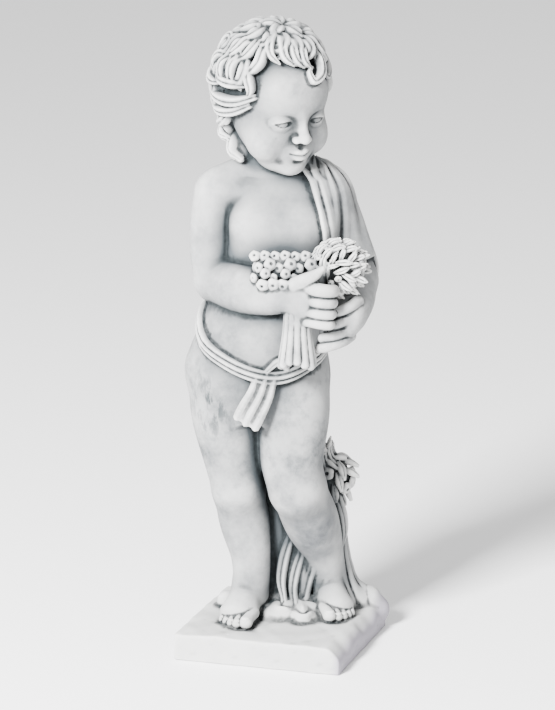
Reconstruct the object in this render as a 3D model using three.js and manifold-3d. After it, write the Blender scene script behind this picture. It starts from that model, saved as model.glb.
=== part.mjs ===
// Garden statue of a cherub boy holding a bunch of summer flowers, cast in one piece of stone with its
// plinth. The forms are modelled as rounded solids that melt into each other, as clay does, and the skin of
// the sum is taken off as one closed mesh.
// Millimetres, +Z up, origin at the middle of the plinth's underside.
import * as THREE from "three";
import { mergeVertices } from "three/addons/utils/BufferGeometryUtils.js";
import Module from "manifold-3d";

// ---------------------------------------------------------------- driving dimensions
const PLINTH_SIDE = 215;
const PLINTH_TOP = 34;
const FIGURE_TURN = 17.2; // degrees; the boy faces a little to his left of the plinth's front
const GRID = 3.6; // cell of the sampling grid
const TRIANGLES = 9800; // what the finished skin is simplified to

const { degToRad, radToDeg, clamp, lerp } = THREE.MathUtils;
const plus = (p, q, scale = 1) => p.map((v, i) => v + scale * q[i]);

// ---------------------------------------------------------------- rounded forms
// A form has a distance function, and a ball that holds it, so that points far away can skip it.
const form = (centre, reach, distance) => ({ centre, reach, distance });

// Joins two distances over a fillet about k wide.
function melt(a, b, k) {
  const h = Math.max(k - Math.abs(a - b), 0) / k;
  return Math.min(a, b) - (h * h * k) / 4;
}

// Cuts distance b out of a, with an edge about k wide.
const carve = (a, b, k) => -melt(-a, b, k);

// An ellipsoid with half-axes r, turned by Euler angles in degrees.
function egg(at, r, turn = [0, 0, 0]) {
  const euler = new THREE.Euler(...turn.map(degToRad), "ZYX");
  const m = new THREE.Matrix4().makeRotationFromEuler(euler).elements;
  const [a, b, c] = r;
  return form(at, Math.max(a, b, c), (x, y, z) => {
    const dx = x - at[0];
    const dy = y - at[1];
    const dz = z - at[2];
    const u = (m[0] * dx + m[1] * dy + m[2] * dz) / a;
    const v = (m[4] * dx + m[5] * dy + m[6] * dz) / b;
    const w = (m[8] * dx + m[9] * dy + m[10] * dz) / c;
    const q = Math.hypot(u, v, w);
    const g = Math.hypot(u / a, v / b, w / c);
    return g > 1e-9 ? (q * (q - 1)) / g : -Math.min(a, b, c);
  });
}

// A smooth path through stations [x, y, z, half width, half thickness].
function smoothPath(stations, steps) {
  const places = stations.map((s) => new THREE.Vector3(s[0], s[1], s[2]));
  const sizes = stations.map((s, i) => new THREE.Vector3(s[3], s[4] ?? s[3], i));
  const route = new THREE.CatmullRomCurve3(places, false, "centripetal");
  const swell = new THREE.CatmullRomCurve3(sizes, false, "catmullrom", 0.5);
  const n = (stations.length - 1) * steps;
  return Array.from({ length: n + 1 }, (_, i) => {
    const size = swell.getPoint(i / n);
    return [...route.getPoint(i / n).toArray(), size.x, size.y];
  });
}

// The ball that holds a path and its thickness.
function ballRound(path) {
  const box = new THREE.Box3().setFromPoints(path.map((q) => new THREE.Vector3(q[0], q[1], q[2])));
  const middle = box.getCenter(new THREE.Vector3()).toArray();
  const spans = path.map((q) => {
    const away = Math.hypot(q[0] - middle[0], q[1] - middle[1], q[2] - middle[2]);
    return away + Math.max(q[3], q[4]);
  });
  return [middle, Math.max(...spans)];
}

// The share of the stretch from a to b at which it passes nearest the point, and how far off it passes.
function passing(a, b, x, y, z) {
  const ex = b[0] - a[0];
  const ey = b[1] - a[1];
  const ez = b[2] - a[2];
  const run = (x - a[0]) * ex + (y - a[1]) * ey + (z - a[2]) * ez;
  const t = clamp(run / (ex * ex + ey * ey + ez * ez), 0, 1);
  return [t, Math.hypot(x - a[0] - t * ex, y - a[1] - t * ey, z - a[2] - t * ez)];
}

// A round limb along stations [x, y, z, radius].
function limb(stations, steps = 4) {
  const path = smoothPath(stations, steps);
  return form(...ballRound(path), (x, y, z) => {
    let best = Infinity;
    for (let i = 1; i < path.length; i++) {
      const [t, away] = passing(path[i - 1], path[i], x, y, z);
      best = Math.min(best, away - lerp(path[i - 1][3], path[i][3], t));
    }
    return best;
  });
}

// A flattened band along stations [x, y, z, half width, half thickness]. outward gives the way that its
// broad face looks at a place on the path.
function strip(stations, outward, steps = 3) {
  const path = smoothPath(stations, steps);
  const ball = ballRound(path);
  const spots = path.map((q) => new THREE.Vector3(q[0], q[1], q[2]));
  path.forEach((q, i) => {
    const along = spots[Math.min(i + 1, path.length - 1)].clone();
    along.sub(spots[Math.max(i - 1, 0)]).normalize();
    const side = along.clone().cross(new THREE.Vector3(...outward(spots[i].toArray()))).normalize();
    q.push(...along.toArray(), ...side.clone().cross(along).toArray(), ...side.toArray());
  });
  return form(...ball, (x, y, z) => {
    let nearest = Infinity;
    let place = 0;
    for (let i = 1; i < path.length; i++) {
      const [t, away] = passing(path[i - 1], path[i], x, y, z);
      if (away < nearest) [nearest, place] = [away, i - 1 + t];
    }
    const i = Math.min(Math.floor(place), path.length - 2);
    const here = (k) => lerp(path[i][k], path[i + 1][k], place - i);
    const [dx, dy, dz] = [x - here(0), y - here(1), z - here(2)];
    const [wide, thick] = [here(3), here(4)];
    const e = (dx * here(5) + dy * here(6) + dz * here(7)) / thick;
    const v = (dx * here(8) + dy * here(9) + dz * here(10)) / thick;
    const u = (dx * here(11) + dy * here(12) + dz * here(13)) / wide;
    const q = Math.hypot(u, v, e);
    const g = Math.hypot(u / wide, v / thick, e / thick);
    return g > 1e-9 ? (q * (q - 1)) / g : -thick;
  });
}

// A trunk of level oval sections [z, centre x, centre y, half width, half depth], lowest first.
function column(sections) {
  const last = sections.length - 1;
  const [low, high] = [sections[0][0], sections[last][0]];
  const at = (z) => {
    let i = 0;
    while (i < last - 1 && z > sections[i + 1][0]) i++;
    const t = clamp((z - sections[i][0]) / (sections[i + 1][0] - sections[i][0]), 0, 1);
    const s = (j) => sections[clamp(j, 0, last)];
    return [1, 2, 3, 4].map((k) => {
      const [p0, p1, p2, p3] = [s(i - 1)[k], s(i)[k], s(i + 1)[k], s(i + 2)[k]];
      const bend = 2 * p0 - 5 * p1 + 4 * p2 - p3 + t * (3 * (p1 - p2) + p3 - p0);
      return p1 + 0.5 * t * (p2 - p0 + t * bend);
    });
  };
  const widest = Math.max(...sections.map((s) => Math.hypot(s[1], s[2]) + Math.max(s[3], s[4])));
  return form([0, 0, (low + high) / 2], Math.hypot(widest, (high - low) / 2), (x, y, z) => {
    const [cx, cy, a, b] = at(z);
    const u = (x - cx) / a;
    const v = (y - cy) / b;
    const q = Math.hypot(u, v);
    const g = Math.hypot(u / a, v / b);
    const side = g > 1e-9 ? (q * (q - 1)) / g : -Math.min(a, b);
    return Math.max(side, z - high, low - z);
  });
}

// Adds forms one after another, each with its own fillet.
function build(parts) {
  return (x, y, z, start = 1e9) => {
    let d = start;
    for (const [f, k] of parts) {
      const far = Math.hypot(x - f.centre[0], y - f.centre[1], z - f.centre[2]) - f.reach;
      if (far < d + k) d = melt(d, f.distance(x, y, z), k);
    }
    return d;
  };
}

// ---------------------------------------------------------------- the boy's body
const TORSO = column([
  [296, -28, 6, 62, 46],
  [330, -30, 10, 84, 56],
  [361, -31, 10, 90, 58],
  [390, -28, 6, 84, 58],
  [411, -25, 2, 78, 56],
  [440, -19, 0, 73, 53],
  [470, -12, 0, 69, 50],
  [500, -6, 2, 66, 48],
  [530, -2, 3, 67, 48],
  [560, 0, 5, 70, 46],
  [585, 0, 7, 66, 40],
  [604, 0, 8, 44, 32],
]);

const torso = build([
  [TORSO, 1],
  [egg([-24, -20, 402], [58, 46, 50]), 24], // belly
  [egg([-28, -27, 545], [30, 18, 24]), 22], // chest
  [egg([26, -27, 543], [30, 18, 24]), 22],
  [egg([-64, 36, 338], [42, 36, 42]), 16], // buttocks
  [egg([2, 36, 340], [40, 36, 42]), 16],
  [egg([-45, 12, 602], [44, 24, 25], [0, -26, 0]), 18], // shoulders
  [egg([34, 14, 594], [38, 24, 21], [0, 26, 0]), 18],
  [limb([[0, 12, 596, 36], [-6, 2, 640, 33]]), 14], // neck
]);

const legs = build([
  // right leg, which carries the weight
  [limb([[-72, 6, 345, 44], [-71, 4, 300, 42], [-61, 2, 240, 36], [-54, 0, 204, 33]]), 10],
  [egg([-55, -20, 206], [22, 16, 22]), 12],
  [limb([[-54, 2, 200, 31], [-47, 11, 158, 31.5], [-39, 9, 112, 25], [-38, 12, 60, 22]], 6), 10],
  // left leg, bent forward at the knee
  [limb([[14, 2, 345, 46], [16, -13, 304, 44], [13, -24, 246, 39], [19, -26, 212, 36]]), 10],
  [egg([20, -44, 208], [24, 16, 24]), 12],
  [limb([[22, -22, 205, 34], [37, 8, 160, 35], [51, 28, 116, 27], [59, 40, 62, 21]], 6), 10],
]);

// Toes: place across the foot as a share of its spread, how far the tip reaches, and thickness.
const TOES = [
  [-0.72, 1.02, 8.4],
  [-0.27, 1.03, 6.2],
  [0.08, 0.99, 5.6],
  [0.4, 0.92, 5.2],
  [0.7, 0.83, 4.9],
];

// A bare foot: heel, instep and ball as one wedge, and five toes side by side.
function foot(heel, toe, spread, side) {
  const along = [toe[0] - heel[0], toe[1] - heel[1]];
  const length = Math.hypot(...along);
  const f = [along[0] / length, along[1] / length];
  const across = [-f[1] * side, f[0] * side];
  const at = (s, w, z) => [
    heel[0] + f[0] * s * length + across[0] * w,
    heel[1] + f[1] * s * length + across[1] * w,
    PLINTH_TOP + z,
  ];
  const turn = radToDeg(Math.atan2(across[1], across[0]));
  const toes = TOES.map(([share, reach, r]) => {
    const root = at(0.66 * reach, share * spread, 12);
    const knuckle = at(0.88 * reach, share * spread, 10.5);
    const tip = at(1.02 * reach, share * spread, r - 0.5);
    return [limb([[...root, r], [...knuckle, r * 0.88], [...tip, r]]), 1.2];
  });
  return [
    [limb([[...at(0.1, 0, 17), 20], [...at(0.4, 0, 18), 19], [...at(0.72, 0, 12), 15]]), 8],
    [egg(at(0.66, 0, 12), [spread, 20, 14], [0, 0, turn]), 10],
    [limb([[...at(0.15, 0, 45), 20], [...at(0.5, -2, 26), 17]]), 12],
    ...toes,
  ];
}

const feet = build([
  ...foot([-38, 32], [-61, -42], 25, -1),
  ...foot([52, 58], [76, -14], 24, 1),
]);

// ---------------------------------------------------------------- arms and hands
// The right forearm crosses the belly and its fist grips the stems; the left hand holds the flowers
// from beyond.
const rightArm = build([
  [limb([[-78, 10, 581, 30], [-85, 12, 540, 29], [-85, 12, 505, 29], [-79, 8, 474, 30]]), 8],
  [limb([[-76, 6, 470, 31], [-48, -36, 468, 31], [-20, -60, 468, 28], [2, -76, 467, 23]]), 8],
]);
const leftArm = build([
  [limb([[50, 12, 576, 29], [66, 12, 540, 28], [81, 12, 500, 28], [90, 6, 472, 29]]), 8],
  [limb([[91, 2, 468, 28], [90, -28, 452, 25], [84, -56, 440, 22]]), 8],
  [egg([80, -64, 432], [17, 18, 25], [0, 20, 0]), 6],
]);

const rightFingers = [479, 464, 449, 435].map((z, i) => {
  const tip = 66 - 2 * i;
  const stations = [
    [28, -95, z + 1, 7.4],
    [43, -105, z, 7.4],
    [56, -105, z - 2, 7.1],
    [tip, -96, z - 4, 6.4],
    [tip, -87, z - 5, 5.6],
  ];
  return [limb(stations), 1.2];
});
const rightHand = build([
  [egg([20, -87, 463], [28, 17, 27], [0, 0, -14]), 6],
  [egg([34, -93, 458], [13, 11, 23], [0, 0, -14]), 5],
  ...rightFingers,
  [limb([[4, -84, 484, 10], [20, -95, 491, 9.2], [36, -97, 498, 7.8], [49, -93, 505, 5.4]]), 3], // thumb
]);

const leftFingers = [455, 439, 424, 411].map((z, i) => {
  const stations = [
    [94 - 3 * i, -60, z + 3, 7],
    [84 - 3 * i, -75, z, 7],
    [70 - 4 * i, -81, z - 5, 6.6],
    [58 - 4 * i, -76, z - 9, 5.8],
  ];
  return [limb(stations), 1.2];
});
const leftHand = build([[egg([82, -64, 432], [13, 14, 27], [0, 18, 0]), 5], ...leftFingers]);

// ---------------------------------------------------------------- head
// A calm toddler's face with round cheeks, modelled upright at the origin facing -Y, then enlarged,
// turned to his left, bent down and set on the neck.
const HEAD_SIZE = 1.05;
const headPlace = new THREE.Matrix4()
  .makeTranslation(-10, -8, 703)
  .multiply(new THREE.Matrix4().makeRotationZ(degToRad(34)))
  .multiply(new THREE.Matrix4().makeRotationX(degToRad(16)))
  .multiply(new THREE.Matrix4().makeRotationY(degToRad(-2)))
  .multiply(new THREE.Matrix4().makeScale(HEAD_SIZE, HEAD_SIZE, HEAD_SIZE));
const headInverse = headPlace.clone().invert().elements;

// The same form on his right and on his left.
const bothSides = (x, make) => [make(-x), make(x)];
const skull = build([
  [egg([0, 7, 12], [58, 66, 60]), 1],
  [egg([0, -16, -18], [50, 46, 54]), 20], // face
  [egg([0, -40, 24], [42, 25, 30]), 16], // forehead
  ...bothSides(29, (x) => [egg([x, -39, -35], [23, 22, 24]), 14]), // cheeks
  [egg([0, -36, -62], [30, 26, 15]), 12], // jaw
  [egg([0, -54, -63], [13, 12, 11]), 10], // chin
  [egg([0, -58, -43], [19, 11, 14]), 10], // round the mouth
  [limb([[0, -60, 3, 5], [0, -65, -8, 5], [0, -71, -19, 6]]), 9], // nose
  [egg([0, -73, -22], [7, 6.5, 6]), 4],
  ...bothSides(7.5, (x) => [egg([x, -67.5, -24.5], [4.6, 6, 4.4]), 3]),
]);
const hollows = build([
  ...bothSides(22, (x) => [egg([x, -68, -4], [16, 9.5, 10.5], [0, 0, 16 * Math.sign(x)]), 1]),
  [egg([0, -69, -54], [8, 4, 3]), 1],
]);
const features = build([
  ...bothSides(22, (x) => [egg([x, -48, -5], [15, 14.2, 12]), 3]), // eyes
  // lids
  ...bothSides(22, (x) => [limb([[x - 12, -58, 0, 2], [x, -62.5, 4, 2.4], [x + 12, -56, 0, 2]]), 2]),
  // lips
  [limb([[-13, -63.5, -41.6, 1.8], [-6, -69, -39.6, 3], [6, -69, -39.6, 3], [13, -63.5, -41.6, 1.8]]), 2],
  [limb([[-11, -64, -44, 1.8], [-5, -68.4, -46.8, 3.4], [5, -68.4, -46.8, 3.4], [11, -64, -44, 1.8]]), 2],
  ...bothSides(57, (x) => [egg([x, 11, -16], [6, 12, 17]), 4]), // ears
]);

// ---------------------------------------------------------------- hair
const SCALP = [62, 70, 70];
const SCALP_CENTRE = [2.5, 5.5, 12];

// A point on the scalp, from its bearing (0 at the face, 90 at the boy's left) and height in degrees.
function onScalp(bearing, height, lift) {
  const b = degToRad(bearing);
  const h = degToRad(height);
  const way = [Math.sin(b) * Math.cos(h), -Math.cos(b) * Math.cos(h), Math.sin(h)];
  return way.map((w, i) => SCALP_CENTRE[i] + w * (SCALP[i] + lift));
}
const fromScalp = (p) => p.map((v, i) => (v - SCALP_CENTRE[i]) / SCALP[i] ** 2);

// A lock laid along (bearing, height) stations: buried at its root, full in the middle, fine at the tip.
function lock(route, width) {
  const stations = route.map(([bearing, height], i) => {
    const t = i / (route.length - 1);
    const swell = 0.75 + 0.45 * Math.sin(Math.PI * Math.min(1.2 * t, 1)) - 0.25 * t * t;
    // the hair is combed close above his left ear, and bushy behind the right one
    const close = 8 * Math.exp(-(((bearing - 78) / 45) ** 2)) * clamp((58 - height) / 30, 0, 1);
    const full = height < 45 ? 4 * Math.exp(-(((bearing + 118) / 30) ** 2)) : 0;
    const lift = 5 * Math.sin(Math.PI * (0.12 + 0.72 * t)) - close + full;
    return [...onScalp(bearing, height, lift), width * swell, 7 * swell];
  });
  return [strip(stations, fromScalp, 2), 1.5];
}

// The locks that frame the face, from the part round to his left, then from the part back over his
// right ear: width, then bearing and height of each station.
const FACE_LOCKS = [
  [6.5, [-50, 74], [-56, 60], [-49, 49], [-35, 43]],
  [6.5, [-22, 72], [-32, 60], [-28, 49], [-14, 42]],
  [6, [-2, 67], [-14, 57], [-12, 47], [0, 40]],
  [6, [14, 62], [1, 54], [0, 45], [11, 39]],
  [5.5, [40, 56], [34, 42], [20, 30], [6, 27], [4, 35], [16, 40]],
  [5.5, [56, 50], [60, 38], [50, 28], [38, 24], [36, 31]],
  [7.5, [-66, 66], [-62, 50], [-61, 38], [-68, 28], [-78, 27]],
  [7.5, [-82, 62], [-77, 50], [-80, 40], [-90, 32]],
  [7.5, [-100, 58], [-94, 46], [-97, 36], [-106, 29]],
  [7, [-84, 38], [-89, 27], [-85, 16], [-72, 9]],
  [7, [-98, 34], [-103, 22], [-98, 12], [-86, 8]],
  [6.5, [-72, 30], [-66, 22], [-61, 13], [-64, 5]],
  [5.5, [-118, 40], [-132, 40], [-140, 30], [-130, 22], [-118, 27]],
  [6, [-104, 30], [-117, 24], [-120, 13], [-106, 8]],
  [6, [-136, 12], [-122, 2], [-106, 3], [-90, 12]],
  [7, [-58, 7], [-74, -2], [-92, -7], [-112, -8], [-130, -2]],
  [6.5, [-62, -3], [-74, -11], [-90, -18], [-108, -22], [-126, -20]],
  [6, [-88, -22], [-98, -32], [-112, -38], [-126, -36]],
];
// Over the crown, his left side and the back they lie in rows: height of the roots, how many, first and
// last bearing, fall, how far the tip hooks sideways, and width.
const LOCK_ROWS = [
  [86, 5, -160, 130, 24, 22, 9],
  [72, 8, -175, 70, 22, -16, 9],
  [56, 11, 62, 278, 25, 16, 8.5],
  [40, 11, 70, 280, 25, -16, 8.5],
  [22, 10, 72, 252, 24, 15, 8.5],
  [4, 9, 74, 246, 24, -15, 8.5],
  [-14, 8, 80, 244, 23, 15, 8],
  [-32, 7, 94, 248, 22, -14, 7.5],
  [-46, 6, 112, 250, 18, 12, 7],
];
const rowLocks = LOCK_ROWS.flatMap(([height, count, first, last, fall, hook, width], row) =>
  Array.from({ length: count }, (_, i) => {
    const bearing = lerp(first, last, i / (count - 1));
    const vary = Math.sin(7.3 * i + 4.1 * row);
    const root = height + 3 * vary;
    const level = Math.max(Math.cos(degToRad(root - fall / 2)), 0.3);
    const swing = (hook * (1 + 0.25 * vary)) / level;
    const route = [
      [bearing, root],
      [bearing - 0.5 * swing, root - 0.32 * fall],
      [bearing - 0.4 * swing, root - 0.7 * fall],
      [bearing + 0.5 * swing, root - fall],
    ];
    return lock(route, width);
  }),
);
const hair = build([
  [egg([0, 14, 19], [59, 64, 64]), 4],
  ...FACE_LOCKS.map(([width, ...route]) => lock(route, width)),
  ...rowLocks,
]);

function headDistance(x, y, z) {
  const e = headInverse;
  const hx = e[0] * x + e[4] * y + e[8] * z + e[12];
  const hy = e[1] * x + e[5] * y + e[9] * z + e[13];
  const hz = e[2] * x + e[6] * y + e[10] * z + e[14];
  const d = features(hx, hy, hz, carve(skull(hx, hy, hz), hollows(hx, hy, hz), 6));
  return hair(hx, hy, hz, d) * HEAD_SIZE;
}

// Curls hanging on the neck below his right ear, and round the nape.
const fromNeck = ([x, y]) => [x + 12, y - 6, 0];
const NECK_CURLS = [
  [[-46, 10, 686, 8, 6], [-66, 6, 670, 9, 8], [-72, 2, 656, 8, 7], [-62, -6, 650, 5, 4]],
  [[-42, 2, 668, 8, 6], [-57, -4, 652, 9, 8], [-60, -6, 636, 9, 8], [-50, -13, 626, 5, 5]],
  [[-46, 18, 676, 9, 6], [-54, 24, 656, 9, 7], [-44, 30, 640, 7, 5], [-36, 32, 634, 5, 4]],
  [[-26, 34, 682, 10, 6], [-32, 42, 662, 10, 7], [-20, 44, 644, 8, 6], [-12, 40, 636, 5, 4]],
  [[0, 38, 682, 10, 6], [2, 46, 662, 10, 7], [12, 40, 646, 8, 6], [18, 34, 640, 5, 4]],
  [[24, 28, 680, 9, 6], [30, 32, 662, 9, 7], [38, 22, 648, 7, 5], [40, 14, 644, 5, 4]],
];
const neckCurls = build([
  [egg([-44, 2, 648], [14, 16, 26]), 4],
  ...NECK_CURLS.map((stations) => [strip(stations, fromNeck), 2]),
]);

// ---------------------------------------------------------------- sash and cape, laid onto the body
const flesh = (x, y, z) => melt(torso(x, y, z), legs(x, y, z), 10);

// The place on the body met when going from a start along a level way, raised off it by the lift.
function meet(start, way, lift) {
  let p = start;
  for (let i = 0; i < 60; i++) p = plus(p, way, 0.8 * Math.min(flesh(...p), 20));
  return plus(p, way, -lift);
}
const inFront = (x, z, lift) => meet([x, -150, z], [0, 1, 0], lift);
function around(bearing, z, lift) {
  const b = degToRad(bearing);
  const out = [Math.sin(b), -Math.cos(b), 0];
  return meet(plus([-25, 0, z], out, 150), out.map((v) => -v), lift);
}

// The sash: bearing and height round the hips, highest behind, lowest under the belly.
const SASH = [
  [-125, 442], [-98, 428], [-66, 399], [-36, 378], [-6, 364], [20, 360],
  [42, 366], [75, 386], [110, 408], [150, 430], [190, 442], [235, 445],
];
const fromHips = ([x, y]) => [x + 25, y, 0];
const LOINCLOTH = [
  [...inFront(-18, 368, -2), 17, 5],
  [-26, -60, 340, 19, 6],
  [-38, -61, 316, 21, 5.5],
  [-44, -59, 303, 21, 4.5],
];
const FOLD = [
  [...inFront(-18, 370, 1), 4, 4],
  [...inFront(-4, 382, 2), 6, 5],
  [...inFront(8, 374, 2), 8, 4],
];
// Pleats stand up along the loincloth, fanning out to its lower edge.
const pleats = [-0.66, 0, 0.66].map((w) => {
  const stations = LOINCLOTH.map(([x, y, z, wide]) => [x + 0.8 * w * wide, y - 3, z - 0.5 * w * wide, 3.4]);
  return [limb(stations, 3), 1];
});
const drapery = build([
  [strip(SASH.map(([b, z]) => [...around(b, z + 5, 3), 6.5, 6]), fromHips), 1],
  [strip(SASH.map(([b, z]) => [...around(b, z - 5, 3), 6.5, 6]), fromHips), 1],
  [strip(LOINCLOTH, fromHips), 1.5],
  ...pleats,
  [strip(FOLD, fromHips), 2],
]);

// The cape's edge: height, how far it stands to his left behind, and in front.
const CAPE_HEM = [
  [446, -14, 60],
  [490, -8, 54],
  [540, 4, 50],
  [565, 12, 45],
  [600, 18, 34],
  [622, 16, 20],
  [640, 14, 14],
];
const CLOTH = 4.5;

// The cape over the left shoulder, falling down the back: a sheet on the body with a rolled hem and folds.
function capeDistance(x, y, z, body) {
  let row = 1;
  while (row < CAPE_HEM.length - 1 && z > CAPE_HEM[row][0]) row++;
  const [low, high] = [CAPE_HEM[row - 1], CAPE_HEM[row]];
  const t = clamp((z - low[0]) / (high[0] - low[0]), 0, 1);
  const forward = clamp((20 - y) / 40, 0, 1);
  const inside = x - lerp(lerp(low[1], high[1], t), lerp(low[2], high[2], t), forward);
  const lowest = 442 + 52 * clamp((34 - y) / 24, 0, 1) + 0.12 * Math.max(x - 60, 0);
  const highest = 648 - 0.5 * Math.max(x, 0);
  const region = Math.max(-inside, lowest - z, z - highest);
  const roll = Math.exp(-(((inside - 4) / 4.5) ** 2));
  const folds = 0.5 + 0.5 * Math.cos((2 * Math.PI * inside) / (19 - 3 * forward) - 1.2);
  const fade = clamp(inside / 8, 0, 1) * clamp(1.5 - (0.8 * forward * inside) / 34, 0.15, 1);
  return carve(body - CLOTH - 3.2 * roll - 3.4 * folds * fade, -region, 3);
}

// ---------------------------------------------------------------- the flowers in his hands
const stems = Array.from({ length: 12 }, (_, i) => {
  const a = (i * Math.PI) / 6;
  const [c, s] = [Math.cos(a), Math.sin(a)];
  const stations = [
    [19 + 12 * c, -86 + 8 * s, 446, 4.6],
    [19 + 14 * c, -87 + 9 * s, 420, 4.8],
    [19 + 19 * c, -88 + 11 * s, 388 + 4 * Math.sin(5 * i), 5.4],
  ];
  return [limb(stations, 2), 0.8];
});

// Round florets lie in rows over the forearm: how many, where the row starts, and its height.
const FLORET_ROWS = [
  [6, -33, 516],
  [6, -27, 505],
  [5, -33, 495],
  [3, -23, 485],
];
const florets = FLORET_ROWS.flatMap(([count, x, z], row) =>
  Array.from({ length: count }, (_, i) => {
    const vary = Math.sin(3.1 * i + 5.3 * row);
    const r = 7.2 + 0.6 * vary;
    return [egg([x + 12.4 * i + vary, -66 - 7.5 * row - 0.9 * i, z + 2.5 * vary], [r, 0.6 * r, r]), 1];
  }),
);

// A direction at an angle out from straight ahead, turned round that axis.
function ahead(out, turn) {
  return [Math.sin(out) * Math.cos(turn), -Math.cos(out), Math.sin(out) * Math.sin(turn)];
}
// A leaf on a seat, given its way, its hump's way and half lengths before and behind the seat.
function leaf(seat, way, hump, stations, outward) {
  const size = Math.hypot(...way);
  return strip(
    stations.map(([s, rise, wide, thick]) => [...plus(plus(seat, way, s / size), hump, rise), wide, thick]),
    outward,
    2,
  );
}

// Leaves and buds crowd between the two hands, most of them leaning up to his left.
const BUNCH = [68, -66, 502];
const fromBunch = (p) => [p[0] - BUNCH[0], p[1] - BUNCH[1] - 20, p[2] - BUNCH[2]];
const BUNCH_LEAF = [
  [-9, 0, 3.6, 3.4],
  [-2, 2.5, 6, 4.2],
  [5, 3, 5.8, 4],
  [12, 0.5, 2.8, 3],
];
const LEAVES = 34;
const leaves = Array.from({ length: LEAVES }, (_, i) => {
  const ball = ahead(1.45 * Math.sqrt((i + 0.5) / LEAVES), 2.4 * i);
  const vary = Math.sin(2.7 * i);
  const seat = [BUNCH[0] + 27 * ball[0], BUNCH[1] + 19 * ball[1], BUNCH[2] + 28 * ball[2]];
  const way = [0.8 * ball[0] + 0.42 + 0.3 * vary, 0.16 * ball[1], 0.8 * ball[2] + 0.5 - 0.35 * vary];
  return [leaf(seat, way, ball, BUNCH_LEAF, fromBunch), 0.8];
});
const bouquet = build([
  ...stems,
  [limb([[19, -86, 446, 11], [20, -87, 396, 13]]), 1],
  [egg([6, -62, 500], [42, 14, 19], [0, 2, 0]), 6],
  [limb([[20, -86, 440, 12], [34, -86, 478, 13], [46, -80, 500, 16]]), 4],
  [egg(BUNCH, [27, 17, 28]), 5],
  ...florets,
  ...leaves,
]);

// ---------------------------------------------------------------- the sheaf behind his leg, and the ground
const STALKS = 20;
const stalks = Array.from({ length: STALKS }, (_, i) => {
  const a = (i * 2 * Math.PI) / STALKS;
  const [c, s] = [Math.cos(a), Math.sin(a)];
  const stations = [
    [46 + 26 * c, 50 + 14 * s, 214, 5.5],
    [34 + 36 * c, 54 + 20 * s, 150, 6],
    [28 + 52 * c, 57 + 28 * s, 92, 6.8],
    [28 + 72 * c, 58 + 38 * s, 36, 8],
  ];
  return [limb(stations, 3), 1];
});

// Long leaves sweep down from the sheaf between the legs and run out over the ground; two hang at its left.
const SHEAF_TOP = [66, 46, 206];
const fromSheaf = (p) => [p[0] - SHEAF_TOP[0], p[1] - SHEAF_TOP[1], p[2] - 0.9 * SHEAF_TOP[2]];
const blades = Array.from({ length: 5 }, (_, i) => {
  const stations = [
    [24 + 8 * i, 26, 166 - 6 * i, 4, 4],
    [12 + 10 * i, 14, 124 - 4 * i, 8, 6],
    [11 * i, 8, 84 - 3 * i, 9.5, 6.5],
    [-12 + 12 * i, 4, 54 - 2 * i, 7, 6],
    [-20 + 13 * i, 0, 42, 3, 5],
  ];
  return [strip(stations, () => [-0.2, -1, 0.15]), 1.5];
});
for (let i = 0; i < 2; i++) {
  const stations = [
    [60 + 8 * i, 36, 190, 6, 5],
    [70 + 7 * i, 32, 160, 8, 6],
    [72 + 6 * i, 34, 134, 7, 6],
    [66 + 6 * i, 38, 112, 4, 4],
  ];
  blades.push([strip(stations, fromSheaf), 2]);
}

// Curled petals lie on the ground between the feet: place and turn.
const CURLS = [
  [4, -34, 0.4],
  [20, -30, 2.2],
  [14, -46, 3.6],
  [30, -44, 5],
  [-4, -22, 1.4],
];
const curls = CURLS.map(([x, y, turn]) => {
  const arc = [0, 1.1, 2.2, 3.3].map((t) => {
    const a = turn + t;
    return [x + 8 * Math.cos(a), y + 8 * Math.sin(a), PLINTH_TOP + 2, 3.4, 5];
  });
  return [strip(arc, () => [0, 0, 1]), 2];
});

// Flowers and drooping leaves crown the sheaf.
const CROWN_LEAF = [
  [-8, 0, 3.6, 3.6],
  [0, 3, 6.2, 4.6],
  [7, 2, 5.6, 4],
  [14, 0, 2.6, 3],
];
const CROWN = 26;
const crown = Array.from({ length: CROWN }, (_, i) => {
  const ball = ahead(1.9 * Math.sqrt((i + 0.5) / CROWN), 2.4 * i);
  const vary = Math.sin(3.3 * i);
  const seat = [SHEAF_TOP[0] + 22 * ball[0], SHEAF_TOP[1] + 20 * ball[1], SHEAF_TOP[2] + 27 * ball[2]];
  if (i % 4 === 1) return [egg(plus(seat, ball, 2), [8.5, 6, 8.5]), 1];
  const way = [0.6 * ball[0] + 0.3 * vary, 0.12 * ball[1], 0.6 * ball[2] - 0.55];
  return [leaf(seat, way, ball, CROWN_LEAF, fromSheaf), 0.8];
});

const sheaf = build([
  // the bundled stalks, swelling towards the ground
  [limb([[12, 60, 36, 40], [14, 60, 92, 32], [18, 56, 150, 30], [24, 48, 205, 27], [30, 40, 240, 14]]), 6],
  [limb([[50, 62, 36, 40], [46, 60, 92, 32], [46, 56, 150, 24], [56, 50, 205, 18], [50, 44, 240, 10]]), 6],
  [egg(SHEAF_TOP, [20, 18, 26]), 4],
  ...stalks,
  ...blades,
  ...curls,
  ...crown,
  // support between the knees
  [limb([[-10, 44, 40, 26], [-8, 42, 120, 22], [-6, 38, 180, 20], [0, 30, 236, 16]]), 8],
  // ground between the feet, and running out to the plinth's edge
  [egg([2, 16, 32], [46, 36, 16]), 12],
  [limb([[60, 62, 34, 34], [110, 62, 38, 18]]), 14],
  [egg([124, 66, 24], [15, 15, 15]), 10],
  [limb([[-40, 50, 34, 16], [-74, 40, 64, 11]]), 8],
]);

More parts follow.
